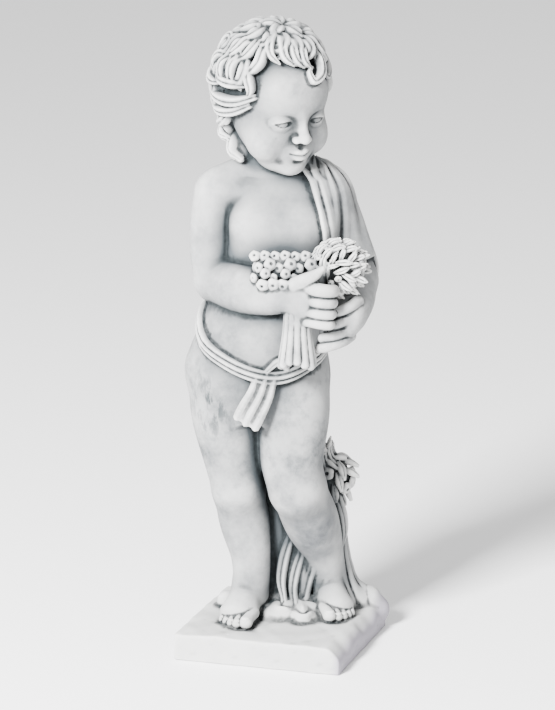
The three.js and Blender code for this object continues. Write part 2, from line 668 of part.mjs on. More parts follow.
// ---------------------------------------------------------------- plinth
function plinthDistance(x, y, z) {
  const half = PLINTH_SIDE / 2;
  const r = 2.5;
  const dx = Math.abs(x) - half + r;
  const dy = Math.abs(y) - half + r;
  const dz = Math.max(z - PLINTH_TOP, -12 - z) + r;
  const outside = Math.hypot(Math.max(dx, 0), Math.max(dy, 0), Math.max(dz, 0));
  const block = outside + Math.min(Math.max(dx, dy, dz), 0) - r;
  // the top edge at his left is broken away in a slope
  const slope = (x + z - half - PLINTH_TOP + 13 + 3 * Math.sin(y / 17)) * Math.SQRT1_2;
  return Math.max(block, slope);
}

// ---------------------------------------------------------------- the whole statue
function statue(x, y, z) {
  const c = Math.cos(degToRad(FIGURE_TURN));
  const s = Math.sin(degToRad(FIGURE_TURN));
  const fx = c * x + s * y;
  const fy = -s * x + c * y;
  let d = melt(plinthDistance(x, y, z), sheaf(fx, fy, z), 8);
  d = melt(d, feet(fx, fy, z), 3);
  const rise = clamp((z - 545) / 40, 0, 1);
  const crease = 2.5 + 13.5 * rise * rise;
  const trunk = melt(flesh(fx, fy, z), rightArm(fx, fy, z), crease);
  const arm = leftArm(fx, fy, z);
  let body = melt(trunk, arm, crease);
  body = melt(body, capeDistance(fx, fy, z, melt(trunk, arm, 20)), 1.5);
  body = melt(body, headDistance(fx, fy, z), 4);
  body = neckCurls(fx, fy, z, body);
  d = melt(d, body, 6);
  d = melt(d, drapery(fx, fy, z), 2);
  d = melt(d, bouquet(fx, fy, z), 2);
  d = melt(d, leftHand(fx, fy, z), 2);
  return melt(d, rightHand(fx, fy, z), 3);
}

// ---------------------------------------------------------------- from distances to a closed skin
// Calls visit(i, j, k) for every place of a grid of counts n, from the first place on.
function everyPlace(n, visit, stride = 1, first = [0, 0, 0]) {
  for (let k = first[2]; k < n[2]; k += stride) {
    for (let j = first[1]; j < n[1]; j += stride) {
      for (let i = first[0]; i < n[0]; i += stride) visit(i, j, k);
    }
  }
}

// Samples the field in the box, in blocks, leaving out blocks that lie far from the surface.
function sample(field, low, high, step) {
  const n = low.map((v, i) => Math.ceil((high[i] - v) / step) + 1);
  const values = new Float32Array(n[0] * n[1] * n[2]);
  const block = 4;
  const at = (i, j, k) => field(low[0] + i * step, low[1] + j * step, low[2] + k * step);
  const fill = (...first) => {
    const middle = at(...first.map((v) => v + (block - 1) / 2));
    const skip = Math.abs(middle) > 1.6 * block * step;
    const end = first.map((v, i) => Math.min(v + block, n[i]));
    const keep = (i, j, k) => {
      values[i + n[0] * (j + n[1] * k)] = skip ? middle : at(i, j, k);
    };
    everyPlace(end, keep, 1, first);
  };
  everyPlace(n, fill, block);
  return { values, n, low, step };
}

// Marching tetrahedra: each cell is six tetrahedra round its long diagonal, so the skin is always closed.
const AXIS_ORDERS = [
  [0, 1, 2, 1],
  [1, 2, 0, 1],
  [2, 0, 1, 1],
  [0, 2, 1, -1],
  [2, 1, 0, -1],
  [1, 0, 2, -1],
];
function skin({ values, n, low, step }) {
  const stride = [1, n[0], n[0] * n[1]];
  const points = [];
  const faces = [];
  const found = new Map();
  const crossing = (a, b) => {
    const [p, q] = a < b ? [a, b] : [b, a];
    const key = p * 4194304 + (q - p);
    let index = found.get(key);
    if (index === undefined) {
      const t = Math.min(Math.max(values[p] / (values[p] - values[q]), 0.03), 0.97);
      const place = (v) => [v % n[0], Math.floor(v / n[0]) % n[1], Math.floor(v / stride[2])];
      const [u, w] = [place(p), place(q)];
      index = points.length;
      points.push(u.map((c, i) => low[i] + step * lerp(c, w[i], t)));
      found.set(key, index);
    }
    return index;
  };
  const tetra = (v, sign) => {
    const inside = v.filter((i) => values[i] < 0);
    const outside = v.filter((i) => values[i] >= 0);
    if (!inside.length || !outside.length) return;
    const order = [...inside, ...outside].map((i) => v.indexOf(i));
    let turned = sign < 0;
    for (let i = 0; i < 4; i++) {
      for (let j = i + 1; j < 4; j++) turned = order[i] > order[j] ? !turned : turned;
    }
    let loop;
    if (inside.length === 1) loop = outside.map((o) => crossing(inside[0], o));
    else if (inside.length === 3) loop = inside.map((o) => crossing(outside[0], o));
    else loop = [[0, 0], [0, 1], [1, 1], [1, 0]].map(([a, b]) => crossing(inside[a], outside[b]));
    if (turned) loop.reverse();
    for (let i = 2; i < loop.length; i++) faces.push(loop[0], loop[i - 1], loop[i]);
  };
  const [right, back] = [1, stride[1]];
  const floor = [0, right, back, right + back];
  const corners = [...floor, ...floor.map((c) => c + stride[2])];
  const cell = (i, j, k) => {
    const v = i + stride[1] * j + stride[2] * k;
    const inside = corners.filter((c) => values[v + c] < 0).length;
    if (inside === 0 || inside === 8) return;
    for (const [a, b, c, sign] of AXIS_ORDERS) {
      const [p, q] = [v + stride[a], v + stride[a] + stride[b]];
      tetra([v, p, q, q + stride[c]], sign);
    }
  };
  everyPlace(n.map((v) => v - 1), cell);
  return { points, faces };
}

// A queue kept as a heap, whose items start with their price.
function enqueue(heap, item) {
  let i = heap.push(item) - 1;
  while (i > 0) {
    const up = (i - 1) >> 1;
    if (heap[up][0] <= item[0]) break;
    heap[i] = heap[up];
    i = up;
  }
  heap[i] = item;
}
function cheapest(heap) {
  const top = heap[0];
  const last = heap.pop();
  if (!heap.length) return top;
  let i = 0;
  for (;;) {
    let c = 2 * i + 1;
    if (c >= heap.length) break;
    if (c + 1 < heap.length && heap[c + 1][0] < heap[c][0]) c++;
    if (heap[c][0] >= last[0]) break;
    heap[i] = heap[c];
    i = c;
  }
  heap[i] = last;
  return top;
}

// Simplifies a closed skin by collapsing edges, the ones that change its shape least first.
function simplify({ points, faces }, target, importance) {
  const n = points.length;
  const quadric = Array.from({ length: n }, () => new Float64Array(10));
  const around = Array.from({ length: n }, () => new Set());
  const face = [];
  const sub = (a, b) => [a[0] - b[0], a[1] - b[1], a[2] - b[2]];
  const cross = (a, b) => [a[1] * b[2] - a[2] * b[1], a[2] * b[0] - a[0] * b[2], a[0] * b[1] - a[1] * b[0]];
  const dot = (a, b) => a[0] * b[0] + a[1] * b[1] + a[2] * b[2];
  for (let i = 0; i < faces.length; i += 3) {
    const f = [faces[i], faces[i + 1], faces[i + 2]];
    const id = face.push(f) - 1;
    const normal = cross(sub(points[f[1]], points[f[0]]), sub(points[f[2]], points[f[0]]));
    const size = Math.hypot(...normal);
    const weight = size * importance(points[f[0]]);
    const [a, b, c] = normal.map((v) => v / (size || 1));
    const d = -dot([a, b, c], points[f[0]]);
    const terms = [a * a, a * b, a * c, a * d, b * b, b * c, b * d, c * c, c * d, d * d];
    for (const v of f) {
      around[v].add(id);
      for (let t = 0; t < 10; t++) quadric[v][t] += terms[t] * weight;
    }
  }
  const error = (q, [x, y, z]) => {
    const squares = q[0] * x * x + q[4] * y * y + q[7] * z * z + q[9];
    return squares + 2 * (q[1] * x * y + q[2] * x * z + q[3] * x + q[5] * y * z + q[6] * y + q[8] * z);
  };
  const stamp = new Uint32Array(n);
  const queue = [];
  const neighbours = (v) => {
    const out = new Set([...around[v]].flatMap((id) => face[id]));
    out.delete(v);
    return out;
  };
  const offer = (a, b) => {
    const q = quadric[a].map((v, i) => v + quadric[b][i]);
    const middle = points[a].map((v, i) => (v + points[b][i]) / 2);
    // the best place for the joined vertex is where the summed planes meet, if they do so nearby
    const m = [[q[0], q[1], q[2]], [q[1], q[4], q[5]], [q[2], q[5], q[7]]];
    const r = [-q[3], -q[6], -q[8]];
    const det = dot(m[0], cross(m[1], m[2]));
    const options = [middle, points[a], points[b]];
    if (Math.abs(det) > 1e-6 * (q[0] + q[4] + q[7]) ** 3) {
      const c = [cross(m[1], m[2]), cross(m[2], m[0]), cross(m[0], m[1])];
      const best = [0, 1, 2].map((i) => (c[0][i] * r[0] + c[1][i] * r[1] + c[2][i] * r[2]) / det);
      const span = Math.hypot(...sub(points[a], points[b]));
      if (Math.hypot(...sub(best, middle)) < 1.5 * span) options.push(best);
    }
    let place = middle;
    let cost = Infinity;
    for (const p of options) {
      const e = error(q, p);
      if (e < cost) [cost, place] = [e, p];
    }
    const price = cost + 1e-4 * Math.hypot(...sub(points[a], points[b]));
    enqueue(queue, [price, a, b, stamp[a], stamp[b], place, q]);
  };
  for (let v = 0; v < n; v++) {
    for (const w of neighbours(v)) {
      if (v < w) offer(v, w);
    }
  }
  const turnsOver = (v, other, place) => {
    for (const id of around[v]) {
      const f = face[id];
      if (f.includes(other)) continue;
      const i = f.indexOf(v);
      const [p, q] = [points[f[(i + 1) % 3]], points[f[(i + 2) % 3]]];
      const before = cross(sub(p, points[v]), sub(q, points[v]));
      const after = cross(sub(p, place), sub(q, place));
      const size = Math.hypot(...after);
      if (dot(before, after) < 0.3 * Math.hypot(...before) * size) return true;
      const edges = [sub(p, place), sub(q, place), sub(p, q)];
      const longest = Math.max(...edges.map((edge) => Math.hypot(...edge)));
      if (size < 0.02 * longest * longest) return true;
    }
    return false;
  };
  let left = face.length;
  while (left > target && queue.length) {
    const [, a, b, stampA, stampB, place, q] = cheapest(queue);
    if (stamp[a] !== stampA || stamp[b] !== stampB || !around[a].size || !around[b].size) continue;
    const near = neighbours(a);
    const shared = [...neighbours(b)].filter((w) => near.has(w)).length;
    if (shared !== 2 || turnsOver(a, b, place) || turnsOver(b, a, place)) continue;
    points[a] = place;
    quadric[a] = q;
    for (const id of [...around[b]]) {
      const f = face[id];
      if (f.includes(a)) {
        for (const w of f) around[w].delete(id);
        left--;
      } else {
        f[f.indexOf(b)] = a;
        around[a].add(id);
      }
    }
    around[b].clear();
    stamp[a]++;
    stamp[b]++;
    for (const w of neighbours(a)) offer(a, w);
  }
  const kept = new Set(around.flatMap((ids) => [...ids]));
  const index = new Map();
  const outPoints = [];
  const outFaces = [...kept].flatMap((id) => face[id]).map((v) => {
    if (!index.has(v)) index.set(v, outPoints.push(points[v]) - 1);
    return index.get(v);
  });
  return { points: outPoints, faces: outFaces };
}

// ---------------------------------------------------------------- cut flat underneath
const wasm = await Module();
wasm.setup();
function solid(positions, triangles) {
  const vertProperties = new Float32Array(positions);
  const triVerts = new Uint32Array(triangles);
  return new wasm.Manifold(new wasm.Mesh({ numProp: 3, vertProperties, triVerts }));
}
function blockSolid(width, depth, height, at) {
  const block = new THREE.BoxGeometry(width, depth, height).translate(...at);
  block.deleteAttribute("normal");
  block.deleteAttribute("uv");
  const merged = mergeVertices(block);
  return solid(merged.attributes.position.array, merged.index.array);
}

const reach = PLINTH_SIDE / 2 + 34;
const fine = skin(sample(statue, [-reach, -reach, -18], [reach, reach, 816], GRID));
// the head, the hands, the flowers and the ground keep more of their facets than the rest
const worth = ([, y, z]) => (z > 610 || z < 60 || (z > 290 && z < 560 && y < -24) ? 4 : 1);
const light = simplify(fine, TRIANGLES, worth);
// the casting is solid, so only its outermost skin is kept
const skins = solid(light.points.flat(), light.faces).decompose();
const whole = skins.sort((a, b) => b.volume() - a.volume())[0];
const cut = whole.subtract(blockSolid(3 * reach, 3 * reach, 40, [0, 0, -20])).getMesh();

const geometry = new THREE.BufferGeometry();
geometry.setAttribute("position", new THREE.Float32BufferAttribute(cut.vertProperties, 3));
geometry.setIndex([...cut.triVerts]);
geometry.computeVertexNormals();
const stone = new THREE.MeshStandardMaterial({ color: 0xd6d6d2, roughness: 0.9, flatShading: true });
const mesh = new THREE.Mesh(geometry, stone);
mesh.name = "cherub_statue";
const root = new THREE.Group();
root.add(mesh);
export default root;
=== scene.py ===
import math
from collections import namedtuple
from concurrent.futures import ThreadPoolExecutor

import bpy
import numpy as np
import openvdb
from mathutils import Euler, Matrix, Vector


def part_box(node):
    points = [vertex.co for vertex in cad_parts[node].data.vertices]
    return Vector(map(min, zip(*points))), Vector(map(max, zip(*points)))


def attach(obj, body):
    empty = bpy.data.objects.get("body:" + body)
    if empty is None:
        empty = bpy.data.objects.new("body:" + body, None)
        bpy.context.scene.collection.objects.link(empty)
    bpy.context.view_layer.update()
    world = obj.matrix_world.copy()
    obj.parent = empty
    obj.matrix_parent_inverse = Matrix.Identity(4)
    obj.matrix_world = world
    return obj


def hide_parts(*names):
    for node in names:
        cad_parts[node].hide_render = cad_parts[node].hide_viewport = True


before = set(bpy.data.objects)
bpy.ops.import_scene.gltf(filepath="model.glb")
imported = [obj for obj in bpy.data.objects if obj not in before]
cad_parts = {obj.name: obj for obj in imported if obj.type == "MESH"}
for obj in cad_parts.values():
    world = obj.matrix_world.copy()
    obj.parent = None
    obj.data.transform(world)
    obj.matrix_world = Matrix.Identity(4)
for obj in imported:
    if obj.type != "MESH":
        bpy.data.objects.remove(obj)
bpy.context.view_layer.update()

# ---------------------------------------------------------------- body
# A plump toddler standing on the right leg with the left knee bent forward, cast in one piece with all the
# rest in white cement and marble dust. The model for the mould was built up in clay, so every form here is a
# rounded lump that melts into the ones before it. Millimetres, in this section and the next ones.
Form = namedtuple("Form", "centre reach distance")  # the ball that holds a form, and its signed distance
Cells = namedtuple("Cells", "points middle half")  # cubes of sample points, their middles and half-diagonal

GROUND = 34.0  # top of the plinth
FAR = 1e3


def melt(a, b, fillet):
    """The nearer of two distances, over a fillet about that wide."""
    h = np.maximum(fillet - np.abs(a - b), 0) / fillet
    return np.minimum(a, b) - h * h * (fillet / 4)


def egg(at, radii, turn=(0, 0, 0)):
    """An ellipsoid, turned by Euler angles in degrees."""
    at, radii = np.array(at, np.float32), np.array(radii, np.float32)
    axes = np.array(Euler([math.radians(t) for t in turn], "XYZ").to_matrix(), np.float32)

    def distance(p):
        local = (p - at) @ axes / radii
        q = np.sqrt((local**2).sum(-1))
        g = np.sqrt(((local / radii) ** 2).sum(-1))
        return q * (q - 1) / np.maximum(g, 1e-6)

    return Form(at, float(radii.max()), distance)


def smooth_path(stations, steps):
    """Points on a smooth path through stations whose first three numbers are x, y, z."""
    s = np.array(stations, float)
    s = np.vstack([2 * s[0] - s[1], s, 2 * s[-1] - s[-2]])
    out = []
    for i in range(1, len(s) - 2):
        before, here, there, after = s[i - 1 : i + 3]
        gaps = np.sqrt(np.linalg.norm(np.diff(s[i - 1 : i + 3, :3], axis=0), axis=1))
        gaps = np.repeat(gaps[:, None], s.shape[1], axis=1)
        gaps[:, 3:] = 1
        first, gap, last = gaps
        rise = there - here
        start = gap * ((here - before) / first - (there - before) / (first + gap) + rise / gap)
        end = gap * (rise / gap - (after - here) / (gap + last) + (after - there) / last)
        for t in np.arange(steps) / steps:
            bend = t * t * (3 * rise - 2 * start - end) + t**3 * (start + end - 2 * rise)
            out.append(here + t * start + bend)
    out.append(s[-2])
    return np.array(out, np.float32)


def limb(stations, steps=4):
    """A round limb along stations (x, y, z, radius)."""
    path = smooth_path(stations, steps)
    middle = (path[:, :3].max(0) + path[:, :3].min(0)) / 2
    reach = float((np.linalg.norm(path[:, :3] - middle, axis=1) + path[:, 3]).max())

    def distance(p):
        best = np.full(p.shape[:-1], FAR, np.float32)
        for a, b in zip(path[:-1], path[1:]):
            along = b[:3] - a[:3]
            away = p - a[:3]
            t = np.clip(away @ (along / (along @ along)), 0, 1)
            away -= t[..., None] * along
            d = np.sqrt(np.einsum("...i,...i", away, away)) - (a[3] + t * (b[3] - a[3]))
            np.minimum(best, d, out=best)
        return best

    return Form(middle, reach, distance)


def column(sections):
    """A trunk of level ovals (z, centre x, centre y, half width, half depth), lowest first."""
    s = np.array(sections, np.float32)
    zs = s[:, 0]
    padded = np.vstack([s[0], s, s[-1]])[:, 1:]

    def distance(p):
        z = p[..., 2]
        i = np.clip(np.searchsorted(zs, z) - 1, 0, len(zs) - 2)
        t = np.clip((z - zs[i]) / (zs[i + 1] - zs[i]), 0, 1)[..., None]
        p0, p1, p2, p3 = (padded[i + j] for j in range(4))
        bend = t * (2 * p0 - 5 * p1 + 4 * p2 - p3 + t * (3 * (p1 - p2) + p3 - p0))
        c = p1 + 0.5 * t * (p2 - p0 + bend)
        u = (p[..., 0] - c[..., 0]) / c[..., 2]
        v = (p[..., 1] - c[..., 1]) / c[..., 3]
        q = np.hypot(u, v)
        side = q * (q - 1) / np.maximum(np.hypot(u / c[..., 2], v / c[..., 3]), 1e-6)
        return np.maximum(side, np.maximum(z - zs[-1], zs[0] - z))

    half_height = float(zs[-1] - zs[0]) / 2
    width = float((np.hypot(s[:, 1], s[:, 2]) + s[:, 3:].max(1)).max())
    return Form(np.array([0, 0, zs[0] + half_height]), math.hypot(width, half_height), distance)


def build(parts, felt=2):
    """Adds forms one after another, each with its own fillet. Cells that lie far from a form skip it.

    felt is the widest fillet with which the sum is later joined to something else.
    """

    def distance(cells, d=None):
        if d is None:
            d = np.full(cells.points.shape[:-1], FAR, np.float32)
        for form, fillet in parts:
            gap = np.linalg.norm(cells.middle - form.centre, axis=1) - form.reach
            near = np.nonzero(gap < cells.half + max(fillet, felt) + 2)[0]
            if len(near):
                d[near] = melt(d[near], form.distance(cells.points[near]), fillet)
        return d

    return distance


TRUNK = column([
    (296, -28, 6, 62, 46),
    (330, -30, 10, 84, 56),
    (361, -31, 10, 90, 58),
    (390, -28, 6, 84, 58),
    (411, -25, 2, 78, 56),
    (440, -19, 0, 73, 53),
    (470, -12, 0, 69, 50),
    (500, -6, 2, 66, 48),
    (530, -2, 3, 67, 48),
    (560, 0, 5, 70, 46),
    (585, 0, 7, 66, 40),
    (604, 0, 8, 44, 32),
])
torso = build([
    (TRUNK, 1),
    (egg((-24, -20, 402), (58, 46, 50)), 24),  # belly
    (egg((-28, -27, 545), (30, 18, 24)), 22),  # chest
    (egg((26, -27, 543), (30, 18, 24)), 22),
    (egg((-64, 36, 338), (42, 36, 42)), 16),  # buttocks
    (egg((2, 36, 340), (40, 36, 42)), 16),
    (egg((-45, 12, 602), (44, 24, 25), (0, -26, 0)), 18),  # shoulders
    (egg((34, 14, 594), (38, 24, 21), (0, 26, 0)), 18),
    (limb([(0, 12, 596, 36), (-6, 2, 640, 33)]), 14),  # neck
], 16)
legs = build([
    (limb([(-72, 6, 345, 44), (-71, 4, 300, 42), (-61, 2, 240, 36), (-54, 0, 204, 33)], 8), 10),  # right thigh
    (egg((-55, -20, 206), (22, 16, 22)), 12),
    (limb([(-54, 2, 200, 31), (-47, 11, 158, 31.5), (-39, 9, 112, 25), (-38, 12, 60, 22)], 8), 10),
    (limb([(14, 2, 345, 46), (16, -13, 304, 44), (13, -24, 246, 39), (19, -26, 212, 36)], 8), 10),  # left thigh
    (egg((20, -44, 208), (24, 16, 24)), 12),
    (limb([(22, -22, 205, 34), (37, 8, 160, 35), (51, 28, 116, 27), (59, 40, 62, 21)], 8), 10),
], 16)

TOES = (  # place across the foot, reach along it and radius, from the big toe outwards
    (-0.72, 1.02, 8.4),
    (-0.27, 1.03, 6.2),
    (0.08, 0.99, 5.6),
    (0.4, 0.92, 5.2),
    (0.7, 0.83, 4.9),
)


def foot(heel, toe, spread, side):
    """Heel, instep and ball as one wedge, and five toes side by side with their nails."""
    along = np.array([toe[0] - heel[0], toe[1] - heel[1]], float)
    length = float(np.hypot(*along))
    forward = along / length
    across = np.array([-forward[1], forward[0]]) * side

    def at(s, w, z):
        """A point at share s of the foot's length, w across it and z above the plinth."""
        return (*(np.array(heel) + forward * s * length + across * w), GROUND + z)

    turn = (0, 0, math.degrees(math.atan2(across[1], across[0])))
    parts = [
        (limb([(*at(0.1, 0, 17), 20), (*at(0.4, 0, 18), 19), (*at(0.72, 0, 12), 15)]), 8),
        (egg(at(0.66, 0, 12), (spread, 20, 14), turn), 10),
        (limb([(*at(0.15, 0, 45), 20), (*at(0.5, -2, 26), 17)]), 12),
    ]
    for place, reach, r in TOES:
        w = place * spread
        root, knuckle, tip = at(0.66 * reach, w, 12), at(0.88 * reach, w, 10.5), at(1.02 * reach, w, r - 0.5)
        nail = at(1.05 * reach, w, 1.72 * r)
        parts.append((limb([(*root, r), (*knuckle, r * 0.88), (*tip, r)]), 1.2))
        parts.append((egg(nail, (0.66 * r, 0.62 * r, 1.6), turn), 0.6))
    return parts


feet = build(foot((-38, 32), (-61, -42), 25, -1) + foot((52, 58), (76, -14), 24, 1))

# ---------------------------------------------------------------- arms and hands
# Part of the same casting. The right forearm crosses the belly and its hand grips the stems; the left hand
# holds the bunch from the far side. The fingers were modelled one by one and pressed onto the palm.
right_arm = build([
    (limb([(-78, 10, 581, 30), (-85, 12, 540, 29), (-85, 12, 505, 29), (-79, 8, 474, 30)]), 8),
    (limb([(-76, 6, 470, 31), (-48, -36, 468, 31), (-20, -60, 468, 27), (4, -77, 467, 20)]), 8),
], 16)
left_arm = build([
    (limb([(50, 12, 576, 29), (66, 12, 540, 28), (81, 12, 500, 28), (90, 6, 472, 29)]), 8),
    (limb([(91, 2, 468, 28), (90, -28, 452, 25), (84, -56, 440, 22)]), 8),
    (egg((80, -64, 432), (17, 18, 25), (0, 20, 0)), 6),
], 20)
right_hand = build(
    [
        (egg((20, -84, 466), (22, 18, 27), (0, 0, -14)), 6),
        (egg((31, -92, 468), (18, 15, 29), (0, 6, -14)), 6),
    ]
    + [
        (limb([
            (32, -98, z + 1, r),
            (46, -107, z, r),
            (57, -106, z - 1.5, 0.97 * r),
            (63 - i, -97, z - 3, 0.9 * r),
            (63 - i, -88, z - 4, 0.8 * r),
        ]), 1)
        for i, (z, r) in enumerate(((482, 8.6), (467, 7.3), (453, 7), (440, 6.2)))
    ]
    + [(limb([(18, -92, 486, 10), (30, -101, 494, 8.6), (41, -104, 501, 6.4), (50, -103, 508, 3.6)]), 3)]
)
left_hand = build(
    [(egg((82, -64, 432), (13, 14, 27), (0, 18, 0)), 5)]
    + [
        (limb([
            (94 - 3 * i, -60, z + 3, 7),
            (84 - 3 * i, -75, z, 7),
            (70 - 4 * i, -81, z - 5, 6.6),
            (58 - 4 * i, -76, z - 9, 5.8),
        ]), 1.2)
        for i, z in enumerate((455, 439, 424, 411))
    ]
)

# ---------------------------------------------------------------- head
# A calm toddler's face with round cheeks, part of the same casting. It was modelled upright at the origin
# facing -Y, then enlarged, turned to its left, bent down and set on the neck.
HEAD_SIZE = 1.05
HEAD = (
    Matrix.Translation((-10, -8, 703))
    @ Matrix.Rotation(math.radians(34), 4, "Z")
    @ Matrix.Rotation(math.radians(16), 4, "X")
    @ Matrix.Rotation(math.radians(-2), 4, "Y")
    @ Matrix.Scale(HEAD_SIZE, 4)
)


def carve(a, b, edge):
    """Distance a with b cut out of it."""
    return -melt(-a, b, edge)


def both(x, make):
    """The same form on the right side (-1) and on the left side (1)."""
    return [make(-x, -1), make(x, 1)]


def arch(*half):
    """A limb that is alike on both sides, from its middle station and those to the left of it."""
    return limb([(-x, *rest) for x, *rest in half[:0:-1]] + list(half))


def shell(at, radius, line):
    """A lid: the part of a ball above the line, a height for each distance to the side of its middle."""

    def distance(p):
        away = p - np.array(at, np.float32)
        ball = np.sqrt((away**2).sum(-1)) - radius
        return np.maximum(ball, line(away[..., 0]) - away[..., 2])

    return Form(np.array(at, np.float32), radius, distance)


def under(form):
    """The same form mirrored top to bottom about its centre, for the lower lid."""
    middle = np.array(form.centre, np.float32)
    flip = np.array([1, 1, -1], np.float32)
    return Form(form.centre, form.reach, lambda p: form.distance((p - middle) * flip + middle))


skull = build(
    [
        (egg((0, 7, 12), (58, 66, 60)), 1),
        (egg((0, -16, -18), (50, 46, 54)), 20),  # face
        (egg((0, -40, 24), (42, 25, 30)), 16),  # forehead
    ]
    + both(29, lambda x, side: (egg((x, -39, -35), (23, 22, 24)), 14))  # cheeks
    + [
        (egg((0, -36, -62), (30, 26, 15)), 12),  # jaw
        (egg((0, -54, -63), (13, 12, 11)), 10),  # chin
        (egg((0, -58, -43), (19, 11, 14)), 10),  # round the mouth
        (limb([(0, -60, 3, 5), (0, -65, -8, 5), (0, -71, -19, 6)]), 9),  # nose
        (egg((0, -73, -22), (7, 6.5, 6)), 4),
    ]
    + both(7.5, lambda x, side: (egg((x, -67.5, -24.5), (4.6, 6, 4.4)), 3)),
    8,
)
hollows = build(
    both(22, lambda x, side: (egg((x, -68, -4), (16, 9.5, 10.5), (0, 0, 16 * side)), 1))  # eye sockets
    + both(3.4, lambda x, side: (egg((x, -70.5, -29), (2.2, 3, 2.4)), 1))  # nostrils
    + [
        (egg((0, -72, -33), (1.8, 4, 4)), 1),  # groove above the lip
        (egg((0, -69, -54), (8, 4, 3)), 1),  # dip above the chin
    ],
    6,
)
EYE = (22, -48, -5)


def upper_lid(x, side):
    return shell((x, *EYE[1:]), 15.4, lambda u: 3.2 - 0.015 * u * u - 0.08 * side * u), 3


def lower_lid(x, side):
    return under(shell((x, *EYE[1:]), 14.8, lambda u: 5.2 - 0.026 * u * u)), 3


features = build(
    both(EYE[0], upper_lid)
    + both(EYE[0], lower_lid)
    + both(EYE[0], lambda x, side: (egg((x, *EYE[1:]), (13, 13, 13)), 0.8))  # eyeballs
    + [
        (arch((0, -70.8, -40.4, 2.7), (6, -69, -39.6, 2.9), (13, -63.5, -41.6, 1.6)), 3),  # lips
        (arch((0, -69.4, -46.8, 3.7), (5, -68.4, -46.2, 3.3), (11, -64, -43.4, 1.6)), 3),
    ]
    + both(57, lambda x, side: (egg((x, 11, -16), (6, 12, 17)), 4))  # ears
)
mouth_line = build([(arch((0, -73.6, -43.6, 0.9), (6, -72, -42.9, 0.9), (13.5, -66.4, -41.8, 0.8)), 1)], 3)
ear_hollow = build(both(63, lambda x, side: (egg((x, 8, -14), (4.5, 7, 11)), 1)), 4)


def rim(x, side):
    """The rolled edge of an ear."""
    return limb([
        (x, 19, -28, 2.6),
        (x, 23, -14, 3),
        (x, 17, -1, 3),
        (x, 6, 1, 2.8),
        (x - side, 1, -6, 2.2),
    ]), 2


ear_rim = build(both(59, rim))

# ---------------------------------------------------------------- hair
# Thick short curls, part of the same casting. Each lock was laid onto the clay as a roll and scored down its
# length with a riffler; they part above the right eyebrow.
SCALP = np.array([62.0, 70.0, 70.0])
SCALP_CENTRE = np.array([2.5, 5.5, 12.0])
LOCK_THICKNESS = 7.0
LOCK_LIFT = 5.0


def strip(stations, outward, strands=3, score=1.5):
    """A flattened band along stations (x, y, z, half width, half thickness), grooved lengthwise.

    outward gives, for points on the path, the way its broad face looks.
    """
    path = smooth_path(stations, 4)
    spots = path[:, :3]
    along = np.gradient(spots, axis=0)
    along /= np.linalg.norm(along, axis=1)[:, None]
    side = np.cross(along, outward(spots))
    side /= np.linalg.norm(side, axis=1)[:, None]
    track = np.hstack([path, along, np.cross(side, along), side]).astype(np.float32)
    middle = (spots.max(0) + spots.min(0)) / 2
    reach = float((np.linalg.norm(spots - middle, axis=1) + path[:, 3:].max(1)).max())

    def distance(p):
        best = np.full(p.shape[:-1], FAR**2, np.float32)
        place = np.zeros(p.shape[:-1], np.float32)
        for i, (a, b) in enumerate(zip(track[:-1, :3], track[1:, :3])):
            away = p - a
            t = np.clip(away @ ((b - a) / ((b - a) @ (b - a))), 0, 1)
            away -= t[..., None] * (b - a)
            d = np.einsum("...i,...i", away, away)
            closer = d < best
            best = np.where(closer, d, best)
            place = np.where(closer, i + t, place)
        i = np.minimum(place.astype(int), len(track) - 2)
        t = (place - i)[..., None]
        here = track[i] * (1 - t) + track[i + 1] * t
        away = p - here[..., :3]
        w, h = here[..., 3], here[..., 4]
        u = np.einsum("...i,...i", away, here[..., 11:14]) / w
        v = np.einsum("...i,...i", away, here[..., 8:11]) / h
        e = np.einsum("...i,...i", away, here[..., 5:8]) / h
        q = np.sqrt(u * u + v * v + e * e)
        g = np.sqrt((u / w) ** 2 + (v / h) ** 2 + (e / h) ** 2)
        groove = 0.5 + 0.5 * np.cos(math.pi * strands * (np.clip(u, -1, 1) + 1))
        return q * (q - 1) / np.maximum(g, 1e-6) + score * groove

    return Form(middle, reach, distance)


def on_scalp(bearing, height, lift):
    """A point on the scalp, from its bearing (0 at the face, 90 at its left) and its height in degrees."""
    b, h = math.radians(bearing), math.radians(height)
    way = np.array([math.sin(b) * math.cos(h), -math.cos(b) * math.cos(h), math.sin(h)])
    return SCALP_CENTRE + way * (SCALP + lift)


def lock(route, width):
    """A lock along (bearing, height) stations: buried at its root, full in the middle and fine at its tip."""
    stations = []
    for i, (bearing, height) in enumerate(route):
        t = i / (len(route) - 1)
        swell = 0.75 + 0.47 * math.sin(math.pi * min(1.15 * t, 1)) - 0.45 * t**3
        # combed close above the left ear, and bushy behind the right one
        flat = 8 * math.exp(-(((bearing - 78) / 45) ** 2)) * min(max((58 - height) / 30, 0), 1)
        full = 4 * math.exp(-(((bearing + 118) / 30) ** 2)) if height < 45 else 0
        lift = LOCK_LIFT * math.sin(math.pi * (0.12 + 0.72 * t)) - flat + full
        stations.append((*on_scalp(bearing, height, lift), width * swell, LOCK_THICKNESS * swell))
    return strip(stations, lambda spots: (spots - SCALP_CENTRE) / SCALP**2, 2, 2.3)


